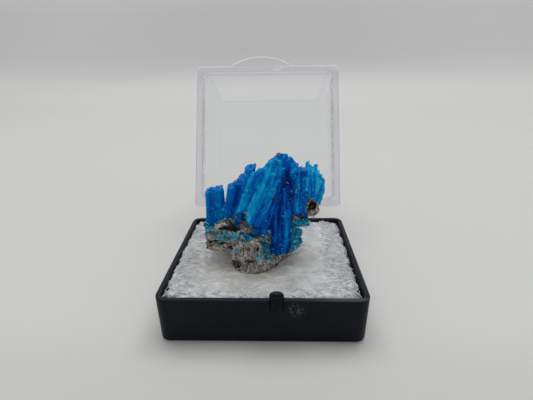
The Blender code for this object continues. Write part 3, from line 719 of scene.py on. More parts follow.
def thumb_tab():
    radius = ((TAB_CHORD / 2) ** 2 + TAB_OUT**2) / (2 * TAB_OUT)
    half_angle = math.asin(TAB_CHORD / 2 / radius)
    centre_y = -FLANGE_HALF - TAB_OUT + radius
    bm = bmesh.new()
    start = bm.verts.new((TAB_X - TAB_CHORD / 2, centre_y - radius * math.cos(half_angle), FLANGE_LOW))
    bmesh.ops.spin(
        bm, geom=[start], cent=(TAB_X, centre_y, FLANGE_LOW), axis=(0, 0, 1), angle=2 * half_angle, steps=28,
        use_merge=False, use_duplicate=False, dvec=(0, 0, 0),
    )
    ends = sorted(bm.verts, key=lambda vert: vert.co.x)
    roots = [bm.verts.new((end.co.x, -FLANGE_HALF + 1.5, FLANGE_LOW)) for end in (ends[0], ends[-1])]
    bm.edges.new((ends[0], roots[0]))
    bm.edges.new((ends[-1], roots[1]))
    bm.edges.new(roots)
    made = bmesh.ops.contextual_create(bm, geom=bm.edges)
    made = bmesh.ops.extrude_face_region(bm, geom=made["faces"])
    bmesh.ops.translate(bm, vec=(0, 0, TAB_THICK), verts=new_points(made))
    bmesh.ops.recalc_face_normals(bm, faces=bm.faces)
    return bm


def hinge_arm(x, side):
    """A flat arm from the rear flange to the hinge, with a heel that meets the wall when the lid is open."""
    heel_turn = 180 + OPEN_ANGLE
    out = Vector((math.cos(math.radians(heel_turn)), math.sin(math.radians(heel_turn))))
    along = Vector((-out.y, out.x))
    face = Vector(HINGE) + out * (HINGE_Y - TRAY_HALF - JOINT_GAP)
    outline = [(FLANGE_HALF - 1.5, 15.5), (FLANGE_HALF - 1.5, 13.9), (FLANGE_HALF + 0.3, 13.9)]
    outline += arc(HINGE, ARM_RADIUS, 200, heel_turn - 45, 6)
    outline += [tuple(face - along * 0.1), tuple(face + along * 1.7)]
    outline += arc(HINGE, ARM_RADIUS, heel_turn + 75, 360 + 95, 10)
    start = x + side * (LUG_WIDTH / 2 + JOINT_GAP) - (ARM_WIDTH if side < 0 else 0)
    return side_profile(outline, start, ARM_WIDTH)


def hinge_pin(x, side):
    root = Vector((x + side * (LUG_WIDTH / 2 + JOINT_GAP + ARM_WIDTH / 2), HINGE_Y, HINGE_Z))
    tip = Vector((x + side * (LUG_WIDTH / 2 - PIN_DEPTH), HINGE_Y, HINGE_Z))
    return cylinder(PIN_RADIUS, root, tip, 24, ease=0.15)


def make_lid():
    """The lid is modelled closed, then its mesh is turned open about the hinge."""
    lid = mesh_object("lid_moulding", rounded_box(
        LID_HALF_LOW, LID_HALF_HIGH, FLANGE_LOW, LID_TOP, LID_CORNER, edge_high=LID_EDGE,
    ))
    flange_top = FLANGE_LOW + FLANGE_THICK
    flange = rounded_box(FLANGE_HALF, FLANGE_HALF, FLANGE_LOW, flange_top, FLANGE_CORNER, 0.25, 0.25)
    sides = [(x, side) for x in LUG_CENTRES for side in (-1, 1)]
    extras = [mesh_object("flange", flange), mesh_object("tab", thumb_tab())]
    extras += [mesh_object("arm", hinge_arm(x, side)) for x, side in sides]
    extras += [mesh_object("pin", hinge_pin(x, side)) for x, side in sides]
    combine(lid, extras, "UNION")
    slope = (LID_HALF_LOW - LID_HALF_HIGH) / (LID_TOP - FLANGE_LOW)
    inside = rounded_box(
        LID_HALF_LOW - LID_WALL + slope, LID_HALF_HIGH - LID_WALL, FLANGE_LOW - 1, LID_TOP - LID_WALL,
        LID_CORNER - LID_WALL, edge_high=0.6,
    )
    hole = cylinder(HOLE_RADIUS, (POST_X, POST_Y, FLANGE_LOW - 1), (POST_X, POST_Y, FLANGE_LOW + 4), 40)
    combine(lid, [mesh_object("inside", inside), mesh_object("hole", hole)], "DIFFERENCE")
    closed = lid.data.attributes.new("closed_place", "FLOAT_VECTOR", "POINT")
    for vert, value in zip(lid.data.vertices, closed.data):
        value.vector = vert.co
    axis = Matrix.Translation(Vector((0, HINGE_Y, HINGE_Z)) * MM)
    turn = Matrix.Rotation(-math.radians(OPEN_ANGLE), 4, "X")
    lid.data.transform(axis @ turn @ axis.inverted())
    return finish_piece(lid, lid_look(), "lid", ["lid"], sharp=35)


# Rock

def node_solid(node):
    """A CAD node's surface as a bmesh in millimetres."""
    bm = bmesh.new()
    bm.from_mesh(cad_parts[node].data)
    bmesh.ops.remove_doubles(bm, verts=bm.verts, dist=0.001 * MM)
    bmesh.ops.scale(bm, vec=(1 / MM, 1 / MM, 1 / MM), verts=bm.verts)
    return bm


def even_skin(bm, voxel, smoothing):
    """One skin of even small faces around all the solids of a bmesh, with its facets softened."""
    rough = mesh_object("rough", bm)
    remesh = rough.modifiers.new("even skin", "REMESH")
    remesh.mode = "VOXEL"
    remesh.voxel_size = voxel * MM
    bake(rough)
    skin = bmesh.new()
    skin.from_mesh(rough.data)
    bpy.data.objects.remove(rough, do_unlink=True)
    bmesh.ops.scale(skin, vec=(1 / MM, 1 / MM, 1 / MM), verts=skin.verts)
    drop_inner_skins(skin)
    for _ in range(smoothing):
        bmesh.ops.smooth_vert(
            skin, verts=skin.verts, factor=0.5, use_axis_x=True, use_axis_y=True, use_axis_z=True,
        )
    skin.normal_update()
    return skin


def drop_inner_skins(bm):
    """Keeps the largest joined skin, and drops the ones around closed hollows inside it."""
    unseen = set(bm.verts)
    largest = set()
    while unseen:
        waiting = [unseen.pop()]
        found = set(waiting)
        while waiting:
            vert = waiting.pop()
            beside = {edge.other_vert(vert) for edge in vert.link_edges} & unseen
            unseen -= beside
            found |= beside
            waiting.extend(beside)
        if len(found) > len(largest):
            largest = found
    bmesh.ops.delete(bm, geom=[vert for vert in bm.verts if vert not in largest], context="VERTS")


# Marks seen from the front, each at a place in the photo's frame: (x, y, half width, half height,
# strength). A hollow is dark and sunk in, a ledge is pale and stands out, a stain is turquoise.
# The darkening of these hollows is painted shade, in recesses and under ledges.
ROCK_SHADED_HOLLOWS = (
    (231.0, 227.5, 8.0, 3.2, 1.0), (222.5, 229.5, 4.0, 1.6, 0.8), (244.0, 233.5, 4.0, 2.2, 0.9),
    (251.5, 235.0, 3.0, 2.4, 0.8), (263.0, 243.0, 5.0, 1.4, 0.8), (270.0, 238.5, 2.4, 2.6, 0.9),
    (214.0, 241.6, 5.5, 1.0, 0.9), (223.5, 244.2, 5.5, 1.0, 0.9), (229.5, 248.0, 2.4, 2.0, 0.8),
    (236.0, 264.5, 4.5, 3.6, 0.6), (278.3, 264.6, 2.0, 1.0, 0.7), (212.0, 233.0, 4.0, 1.4, 0.5),
    (257.0, 250.0, 2.0, 1.4, 0.6), (243.0, 250.0, 1.0, 5.0, 0.6), (249.0, 262.0, 5.0, 1.0, 0.6),
)
ROCK_LEDGES = (
    (218.2, 225.8, 4.0, 2.2, 0.5), (225.5, 222.4, 3.6, 1.4, 0.6), (213.0, 238.0, 6.5, 1.8, 0.35),
    (260.5, 239.4, 5.6, 1.8, 0.40), (232.0, 252.0, 1.6, 6.0, 0.3), (239.5, 261.0, 3.0, 6.0, 0.25),
    (248.0, 245.0, 5.0, 3.0, 0.15),
)
ROCK_STAINS = (
    (226.0, 236.0, 11.0, 4.4, 0.70), (240.0, 237.5, 9.0, 4.8, 0.66), (250.0, 238.0, 6.0, 3.6, 0.60),
    (210.0, 232.0, 5.0, 3.4, 0.52), (243.0, 226.0, 6.0, 5.0, 0.55), (266.5, 247.0, 4.4, 9.0, 0.66),
    (256.8, 258.4, 2.0, 5.4, 0.70), (268.5, 256.5, 4.5, 3.6, 0.66), (236.0, 251.5, 1.8, 3.6, 0.62),
    (208.0, 229.5, 3.0, 3.0, 0.6), (262.0, 266.5, 5.0, 3.0, 0.36), (246.0, 248.0, 8.0, 6.0, 0.34),
    (260.0, 240.5, 7.0, 2.6, 0.50), (224.0, 247.5, 6.0, 1.6, 0.45),
)


def mark_strength(marks, seen):
    """The strongest mark at a place in the photo's frame."""
    best = 0.0
    for x, y, half_width, half_height, strength in marks:
        away = ((seen[0] - x) / half_width) ** 2 + ((seen[1] - y) / half_height) ** 2
        if away < 2.2:
            best = max(best, strength * min(1.0, 1.6 * (1 - away / 2.2)))
    return best


# Where the rock's surface is set back along its own slope, and where it is moved down and back.
ROCK_SUNK = (
    (234.0, 219.5, 7.0, 4.0, 0.9), (262.5, 235.0, 7.0, 4.0, 0.6), (274.0, 244.0, 4.6, 9.5, 0.8),
    (278.0, 250.0, 6.0, 3.0, 0.5),
)
ROCK_LOWERED = ((214.0, 216.5, 9.0, 5.5, 1.0), (226.0, 215.5, 9.0, 5.5, 1.0))
LOWERING = Vector((0, 1.0, -1.35))

# Blocks added to the CAD's rock before its skin is made: centre, half sizes and turn about Y in degrees.
LEDGE_BLOCKS = (
    ((-14.7, -2.6, 17.0), (3.5, 2.6, 1.15), 6),
    ((-13.6, -3.0, 20.9), (3.2, 2.4, 0.8), -9),
)


def ledge_block(centre, half_sizes, turn):
    bm = bmesh.new()
    place = Matrix.Translation(centre) @ Matrix.Rotation(math.radians(turn), 4, "Y")
    bmesh.ops.create_cube(bm, size=2.0, matrix=place @ Matrix.Diagonal((*half_sizes, 1)))
    round_edges(bm, list(bm.edges), 0.35, 2)
    return bm


def merged_solids(parts):
    """Several bmeshes in one."""
    whole = bmesh.new()
    for part in parts:
        mesh = bpy.data.meshes.new("part")
        part.to_mesh(mesh)
        part.free()
        whole.from_mesh(mesh)
        bpy.data.meshes.remove(mesh)
    return whole


# The main body splits along this direction, and the ledges at the left lie flat.
SPLIT_ALONG = Matrix.Rotation(math.radians(32), 3, "Y")
LEDGE_EDGE_X = -9.5


def rock_relief(place):
    """How far the rock stands out at a place, and how deep in a cleft it is."""
    if place.x > LEDGE_EDGE_X:
        lined = SPLIT_ALONG @ place
        lined = Vector((lined.x * 1.2, lined.y * 1.0, lined.z * 0.45))
    else:
        lined = Vector((place.x * 0.30, place.y * 0.45, place.z * 1.5))
    cleft = abs(fractal(lined * 0.55 + Vector((5, 2, 8)), 3))
    thin = abs(fractal(lined * 1.15 + Vector((1, 7, 3)), 3))
    gap = max(0.0, 1 - cleft / 0.10) * 0.9 + max(0.0, 1 - thin / 0.12) * 0.45
    knobs = noise.voronoi(place * 1.5)[0][0]
    small = noise.voronoi(place * 2.6)[0][0]
    relief = fractal(lined * 0.8, 2) * 0.45 + (0.45 - knobs) * 0.45 + (0.4 - small) * 0.28
    relief += noise.noise(lined * 3.4) * 0.20 + fractal(place * 2.4, 2) * 0.22 - gap * 0.55
    return relief, min(1.0, gap * 0.85 + max(0.0, knobs - 0.62) * 1.1)


ROCK_VOXEL = 0.20
ROCK_SMOOTHING = 5
HOLLOW_DEPTH = 0.9
LEDGE_HEIGHT = 0.35
SUNK_DEPTH = 2.3
JOIN_REACH = 1.6        # how far the turquoise reaches from the crystals onto the rock
# Pale, dark, and the fissure colour, which also serves as painted shade in hollows.
GREY_TINTS = ((0.76, 0.71, 0.645), (0.41, 0.385, 0.35), (0.022, 0.018, 0.014))


def make_rock(crystal_tree):
    solids = [node_solid("matrix_rock")] + [ledge_block(*block) for block in LEDGE_BLOCKS]
    bm = even_skin(merged_solids(solids), ROCK_VOXEL, ROCK_SMOOTHING)
    layers = number_layers(bm, "fissure_and_shade", "stain", "lightened")
    moves = []
    for vert in bm.verts:
        relief, depth = rock_relief(vert.co)
        near = crystal_tree.find_nearest(vert.co)[3]
        join = max(0.0, 1 - near / JOIN_REACH) * 0.55
        shaded_hollow = ledge = stain = sunk = lowered = 0.0
        if vert.normal.dot(CAMERA_PLACE - vert.co) > 0:
            seen = photo_place(vert.co)
            shaded_hollow = mark_strength(ROCK_SHADED_HOLLOWS, seen)
            ledge = mark_strength(ROCK_LEDGES, seen)
            stain = mark_strength(ROCK_STAINS, seen)
            sunk = mark_strength(ROCK_SUNK, seen)
            lowered = mark_strength(ROCK_LOWERED, seen)
        # Dark cracks of the rock, with painted shade added in the marked hollows.
        vert[layers[0]] = min(1.0, depth * (1 - ledge * 0.7) * 0.8 + shaded_hollow * 0.9)
        vert[layers[1]] = max(join, stain)
        vert[layers[2]] = ledge
        relief += ledge * LEDGE_HEIGHT - shaded_hollow * HOLLOW_DEPTH - sunk * SUNK_DEPTH
        moves.append(vert.normal * relief + LOWERING * lowered)
    move_points(bm, moves)
    rock = mesh_object("matrix_rock_surface", bm)
    return finish_piece(rock, rock_look("grey matrix", *GREY_TINTS), "box", ["matrix_rock"])


# Hollows of the fragment, sunk in and darkened with painted shade.
FRAGMENT_SHADED_HOLLOWS = (
    (311.0, 203.5, 2.0, 2.6, 1.0), (315.2, 204.0, 1.4, 3.2, 1.0), (308.5, 208.5, 1.4, 3.0, 0.8),
    (313.5, 208.5, 2.4, 1.2, 0.8),
)
FRAGMENT_LEDGES = (
    (318.5, 207.5, 2.0, 4.0, 0.7), (311.5, 213.5, 4.0, 1.8, 0.6), (309.0, 203.5, 1.0, 1.2, 0.5),
)


FRAGMENT_VOXEL = 0.13
FRAGMENT_SMOOTHING = 3
# Pale, dark, and the fissure colour, which also serves as painted shade in hollows.
BROWN_TINTS = ((0.58, 0.47, 0.35), (0.16, 0.11, 0.08), (0.012, 0.007, 0.005))


def make_fragment():
    bm = even_skin(node_solid("matrix_fragment"), FRAGMENT_VOXEL, FRAGMENT_SMOOTHING)
    layers = number_layers(bm, "fissure_and_shade", "stain", "lightened")
    moves = []
    for vert in bm.verts:
        place = Vector((vert.co.x * 1.1, vert.co.y * 1.1, vert.co.z * 0.6))
        near, far = noise.voronoi(place)[0][:2]
        gap = max(0.0, 1 - (far - near) / 0.20)
        shaded_hollow = mark_strength(FRAGMENT_SHADED_HOLLOWS, photo_place(vert.co))
        relief = fractal(vert.co * 1.3, 3) * 0.35 - gap * 0.45 + (0.4 - near) * 0.4 - shaded_hollow * 0.8
        moves.append(vert.normal * relief)
        # Dark cracks and patches of the fragment, with painted shade in its hollows.
        vert[layers[0]] = min(1.0, gap * 0.6 + shaded_hollow + max(0.0, -fractal(vert.co * 1.4, 2)) * 1.2)
        vert[layers[1]] = 0.12
        vert[layers[2]] = mark_strength(FRAGMENT_LEDGES, photo_place(vert.co))
    move_points(bm, moves)
    piece = mesh_object("matrix_fragment_surface", bm)
    look = rock_look("brown matrix", *BROWN_TINTS)
    return finish_piece(piece, look, "box", ["matrix_fragment"])


# Crystals. Each bundle: the line of its feet and the line of its heads, as (X, Z) places seen from the
# front, the front face's Y at the feet and at the heads, how deep it is, how far the heads drop from
# front to back, how unevenly they end, how pale its blue is, and how pointed its fibres are.
Bundle = namedtuple("Bundle", "feet heads y_foot y_head depth drop uneven tone spike")
BUNDLES = {
    "left block": (
        ((-18.5, 21.5), (-12.4, 21.5)),
        ((-17.7, 34.4), (-16.7, 35.5), (-15.6, 35.5), (-14.4, 35.8), (-13.3, 35.0)),
        -3.2, -2.8, 7.0, 1.8, 0.35, 0.46, 0.2,
    ),
    "left notch": (
        ((-13.6, 22.0), (-10.2, 22.0)), ((-13.0, 30.4), (-12.1, 29.2), (-11.0, 30.6)),
        -2.2, -2.0, 4.0, 0.6, 0.20, 0.42, 0.3,
    ),
    "left fan": (
        ((-12.9, 22.0), (-7.2, 22.0)),
        ((-11.0, 35.8), (-9.4, 36.6), (-8.0, 37.6), (-6.4, 39.0), (-5.1, 40.4), (-3.6, 42.7), (-2.1, 42.8)),
        -3.0, -2.6, 6.5, 1.8, 0.25, 0.38, 0.3,
    ),
    "bright blade": (
        ((-8.2, 28.6), (-4.8, 28.9)), ((-4.0, 39.2), (-2.6, 40.5), (-1.4, 41.3), (-0.2, 42.1), (1.1, 42.9)),
        -6.6, -4.8, 3.4, 0.8, 0.15, 0.62, 0.1,
    ),
    "broad blade": (
        ((-5.2, 29.4), (-4.2, 25.8), (1.0, 25.0)),
        ((0.9, 42.4), (2.5, 43.8), (4.1, 45.2), (5.4, 43.6), (6.2, 38.6)),
        -8.8, -3.8, 4.6, 1.2, 0.15, 0.60, 0.1,
    ),
    "dark reeds": (
        ((-3.6, 22.6), (2.4, 22.6)), ((1.9, 34.3), (4.9, 37.4), (6.9, 36.0)),
        -8.6, -6.0, 6.0, -4.6, 0.80, 0.36, 0.5,
    ),
    "crest": (
        ((-0.6, 22.0), (9.2, 22.0)),
        ((1.6, 42.4), (3.6, 44.7), (5.2, 46.0), (6.4, 45.4), (7.4, 44.7), (8.6, 44.2), (9.4, 43.2),
         (10.0, 41.4)),
        -1.8, -0.8, 6.0, 2.0, 0.35, 0.46, 0.3,
    ),
    "hanging column": (
        ((1.6, 15.4), (7.8, 17.0)), ((4.2, 33.4), (6.0, 36.4), (8.2, 34.9)),
        -8.8, -7.6, 5.5, -4.8, 0.50, 0.25, 0.3,
    ),
    "right block": (
        ((7.6, 28.5), (12.7, 28.6)), ((7.9, 40.7), (9.7, 41.8), (11.5, 42.1), (13.0, 41.8)),
        -6.0, -4.2, 7.0, 1.6, 0.30, 0.41, 0.2,
    ),
    "right spikes": (
        ((12.3, 29.6), (16.8, 30.2)),
        ((12.4, 41.6), (13.4, 44.1), (13.9, 42.2), (14.4, 43.6), (14.9, 41.6), (15.6, 42.7), (16.1, 40.9),
         (16.9, 42.0), (17.3, 39.6), (17.9, 40.6), (18.1, 38.0), (18.5, 38.2), (18.5, 34.0)),
        -2.2, -1.4, 5.0, 3.2, 0.90, 0.80, 1.3,
    ),
    "rear left": (
        ((-10.4, 21.0), (-2.0, 21.0)), ((-9.6, 29.6), (-1.4, 34.4)),
        3.0, 3.4, 6.5, 2.4, 0.80, 0.40, 0.5,
    ),
    "rear middle": (
        ((-2.6, 21.0), (8.4, 21.0)), ((-1.4, 36.6), (8.8, 38.4)),
        3.4, 3.8, 6.5, 3.0, 0.80, 0.42, 0.5,
    ),
    "rear right": (
        ((7.4, 23.6), (14.4, 25.0)), ((8.4, 37.2), (14.6, 36.8)),
        1.6, 2.0, 6.0, 3.0, 0.80, 0.50, 0.5,
    ),
}
FIBRE_WIDTHS = (0.34, 1.05)
FIBRE_DEPTH = 0.85
FIBRE_STEPS = 5
FIBRE_OVERLAP = 1.45
PLATE_WIDTHS = (1.1, 2.6)
PLATE_DEPTH = 2.6
THIN_SHARE = 0.36       # how much of a bundle's front the thin fibres cover
# Painted rim light: the paler blue along a bundle's left edge, and less along its right.
PAINTED_RIM_LIGHT_REACH = 1.3        # how far the paler blue reaches in from a bundle's left edge
CRYSTAL_VOXEL = 0.235
CRYSTAL_SMOOTHING = 2

# Strokes of tone on the crystals seen from the front, between two places in the photo's frame: (x, y, x, y,
# half width, strength), paler blue above zero, darker below.
# They are partly the crystals' own tone and partly painted highlights and painted shade.
CRYSTAL_TONE_AND_PAINTED_LIGHT = (
    (236.8, 213.0, 242.9, 195.0, 1.5, 0.26), (242.9, 195.0, 249.4, 178.0, 1.3, 0.24),
    (241.0, 209.0, 246.5, 196.0, 2.6, 0.10), (246.0, 210.0, 251.0, 199.5, 0.9, -0.30),
    (251.0, 199.5, 256.0, 190.0, 0.9, -0.28), (252.5, 184.0, 253.5, 190.0, 2.0, -0.14),
    (243.4, 192.4, 243.6, 193.2, 0.9, -0.35), (247.2, 209.0, 255.3, 193.3, 1.2, 0.28),
    (253.0, 212.0, 264.0, 186.0, 4.0, 0.10), (257.6, 176.5, 261.6, 172.4, 1.1, -0.28),
    (260.2, 182.0, 264.0, 174.0, 1.0, -0.22), (266.0, 178.0, 268.0, 170.0, 2.6, 0.10),
    (239.5, 188.0, 236.0, 206.0, 3.4, -0.26), (229.0, 190.0, 227.6, 201.0, 1.4, 0.10),
    (245.3, 174.2, 245.6, 175.4, 1.4, 0.30), (237.0, 184.0, 239.4, 183.6, 0.9, 0.45),
    (251.0, 169.0, 255.0, 168.0, 2.4, 0.10), (206.2, 190.0, 206.0, 214.0, 1.5, 0.16),
    (212.0, 200.0, 212.0, 212.0, 3.0, -0.08), (219.5, 190.0, 220.5, 205.0, 1.8, 0.02),
    (222.6, 209.4, 222.8, 209.8, 1.6, 0.35), (218.0, 214.0, 230.0, 218.0, 2.6, 0.14),
    (204.0, 216.0, 204.8, 228.0, 1.6, 0.45), (249.4, 216.0, 248.4, 226.0, 1.8, 0.26),
    (254.5, 216.0, 258.0, 208.0, 2.2, 0.10), (257.0, 216.5, 263.5, 205.5, 1.6, -0.22),
    (260.0, 229.0, 266.5, 219.0, 1.8, -0.22), (262.6, 214.8, 266.4, 210.8, 0.7, 0.34),
    (268.0, 208.0, 271.5, 200.0, 0.7, 0.24), (265.0, 172.0, 271.0, 177.0, 3.6, 0.10),
    (271.4, 174.0, 275.0, 174.3, 0.8, 0.40), (273.0, 179.0, 287.0, 174.5, 2.6, -0.22),
    (288.0, 178.0, 282.5, 191.0, 2.6, -0.32), (291.0, 181.0, 290.0, 199.0, 2.2, -0.32),
    (279.2, 190.6, 279.4, 190.8, 0.7, 0.5), (284.2, 191.6, 284.4, 191.8, 0.7, 0.5),
    (286.8, 187.2, 287.6, 186.0, 0.7, 0.45), (293.5, 166.0, 294.5, 173.0, 2.8, 0.20),
    (296.0, 175.0, 305.0, 174.0, 2.0, -0.26), (298.5, 185.0, 299.0, 187.5, 2.6, 0.24),
    (307.4, 178.0, 307.0, 190.5, 1.0, 0.60), (304.5, 170.0, 309.5, 169.0, 2.2, 0.20),
    (302.0, 200.0, 301.5, 209.0, 4.0, -0.08), (296.2, 199.0, 296.6, 210.6, 0.8, 0.36),
    (307.0, 200.6, 305.4, 211.0, 0.8, 0.34), (318.0, 172.0, 321.0, 184.0, 2.2, 0.16),
    (312.0, 194.0, 318.0, 197.0, 2.6, -0.12), (273.4, 216.0, 273.0, 234.0, 1.3, -0.18),
    (278.8, 210.0, 278.4, 226.0, 1.2, -0.18), (272.0, 236.0, 273.0, 250.0, 2.2, -0.10),
    (283.0, 222.0, 282.0, 240.0, 1.6, -0.10), (286.8, 214.0, 287.2, 247.0, 1.0, 0.26),
    (267.5, 221.0, 264.0, 234.0, 1.3, 0.18), (282.0, 216.1, 285.0, 216.3, 0.6, 0.65),
    (272.0, 204.0, 266.5, 216.0, 0.9, -0.22), (276.0, 200.0, 271.0, 214.0, 0.8, 0.18),
    (271.0, 216.0, 270.0, 228.0, 3.0, -0.24), (279.0, 204.0, 279.0, 230.0, 3.6, -0.10),
    (243.0, 208.0, 246.0, 202.0, 2.4, 0.12), (272.0, 214.0, 268.0, 226.0, 0.6, 0.3),
    (268.5, 190.0, 274.0, 193.0, 3.0, 0.12), (281.0, 186.0, 277.0, 202.0, 5.0, -0.17),
    (258.0, 224.0, 264.0, 214.0, 3.6, -0.16), (283.0, 158.0, 289.0, 166.0, 3.0, 0.08),
    (310.0, 166.0, 311.5, 196.0, 0.8, -0.24), (314.2, 172.0, 314.8, 200.0, 0.7, -0.22),
    (317.6, 178.0, 318.0, 196.0, 0.8, 0.18), (312.4, 170.0, 313.0, 190.0, 0.7, 0.20),
    (321.0, 186.0, 320.0, 204.0, 1.2, -0.10),
)

# Where the crystals are grainy, as the rock's marks are: (x, y, half width, half height, strength).
CRYSTAL_GRAINY = (
    (284.0, 163.0, 15.0, 9.0, 0.9), (288.0, 187.0, 8.0, 14.0, 0.7), (299.0, 182.0, 9.0, 16.0, 1.0),
    (222.0, 214.0, 11.0, 8.0, 1.0), (271.0, 192.0, 6.0, 8.0, 0.9), (278.0, 246.0, 9.0, 9.0, 0.7),
    (315.0, 180.0, 9.0, 20.0, 0.5), (245.0, 222.0, 8.0, 8.0, 0.8), (251.0, 170.0, 8.0, 6.0, 0.6),
    (301.0, 205.0, 8.0, 8.0, 0.5), (213.0, 188.0, 8.0, 3.0, 0.4),
)

# Where their faces are smooth, with few lines.
CRYSTAL_SMOOTH = (
    (213.0, 201.0, 9.0, 18.0, 0.70), (231.0, 201.0, 9.0, 18.0, 0.55), (246.0, 192.0, 7.0, 16.0, 0.35),
    (259.0, 192.0, 8.0, 18.0, 0.30), (280.0, 160.0, 14.0, 8.0, 0.40),
)


def stroke_sum(strokes, seen):
    """All strokes at a place in the photo's frame, added up."""
    total = 0.0
    x, y = seen
    for x0, y0, x1, y1, half_width, strength in strokes:
        run, rise = x1 - x0, y1 - y0
        share = max(0.0, min(1.0, ((x - x0) * run + (y - y0) * rise) / (run * run + rise * rise)))
        away = ((x - x0 - share * run) ** 2 + (y - y0 - share * rise) ** 2) / half_width**2
        if away < 5:
            total += strength * math.exp(-away * 0.9)
    return total


def fibre(bm, layers, foot, head, side, wide, thick, tone, spike, across, rng):
    """One six-sided fibre, extruded step by step, that ends blunt or in a point."""
    tone_layer, grain_layer = layers
    axis = (head - foot).normalized()
    side = (side - axis * side.dot(axis)).normalized()
    deep = axis.cross(side)
    half_wide = wide * FIBRE_OVERLAP * rng.uniform(0.85, 1.15) / 2
    half_thick = thick * FIBRE_OVERLAP * rng.uniform(0.9, 1.2) / 2
    upright = Matrix((side, deep, axis)).transposed().to_4x4()
    turn = Matrix.Rotation(rng.uniform(-0.3, 0.3), 4, "Z") @ Matrix.Diagonal((half_wide, half_thick, 1, 1))
    shape = upright @ turn @ Matrix.Rotation(rng.choice((0.0, math.pi / 6)), 4, "Z")
    place = Matrix.Translation(foot) @ shape
    ring = bmesh.ops.create_circle(bm, cap_ends=True, segments=6, radius=1.0, matrix=place)["verts"]
    face = ring[0].link_faces[0]
    length = (head - foot).length
    point_length = 0.15 + spike * min(1.0, 0.6 / wide) * rng.uniform(0.6, 1.7)
    pale = tone + rng.uniform(-0.06, 0.06)
    everything = list(ring)
    slope = min(0.9, 0.32 / wide)
    slant = side * rng.uniform(-slope, slope) + deep * rng.uniform(-0.2, 1.0) * slope
    narrow = 1 - 0.85 * min(1.0, spike * min(1.0, 0.5 / wide))
    for step in range(1, FIBRE_STEPS + 1):
        last = step == FIBRE_STEPS
        made = bmesh.ops.extrude_face_region(bm, geom=[face])
        ring = new_points(made)
        face = next(item for item in made["geom"] if isinstance(item, bmesh.types.BMFace))
        reach = point_length if last else (length - point_length) / (FIBRE_STEPS - 1)
        middle = sum((vert.co for vert in ring), Vector()) / len(ring)
        scale = narrow if last else rng.uniform(0.92, 1.08)
        drift = side * rng.uniform(-0.07, 0.07) + deep * rng.uniform(-0.09, 0.09)
        tilt = 1.0 if step >= FIBRE_STEPS - 1 else 0.0
        for vert in ring:
            off = (vert.co - middle) * scale
            vert.co = middle + off + axis * (reach + off.dot(slant) * tilt) + drift
        everything += ring
    for vert in everything:
        away = vert.co - foot
        along = away.dot(axis)
        tip = max(0.0, 1 - (length - along) / 1.5)
        vert[tone_layer] = pale + tip * 0.08
        vert[grain_layer] = Vector((away.dot(side), away.dot(deep), along)) + across


def bundle_columns(breadth, widths_between, rng):
    """Places across a bundle and widths of its columns, which vary and stay inside its edges."""
    widths = [rng.uniform(*widths_between)]
    while sum(widths) < breadth - 0.3 * widths_between[0]:
        widths.append(rng.uniform(*widths_between))
    fit = breadth / (sum(widths) + (FIBRE_OVERLAP - 1) * (widths[0] + widths[-1]) / 2)
    done = (FIBRE_OVERLAP - 1) * widths[0] / 2
    for width in widths:
        yield (done + width / 2) * fit / breadth, width * fit
        done += width


def on_line(line, share, y):
    """A place at a share of the way along a line of evenly counted (X, Z) places."""
    reach = share * (len(line) - 1)
    index = min(int(reach), len(line) - 2)
    start, end = (Vector((x, y, z)) for x, z in line[index:index + 2])
    return start.lerp(end, reach - index)


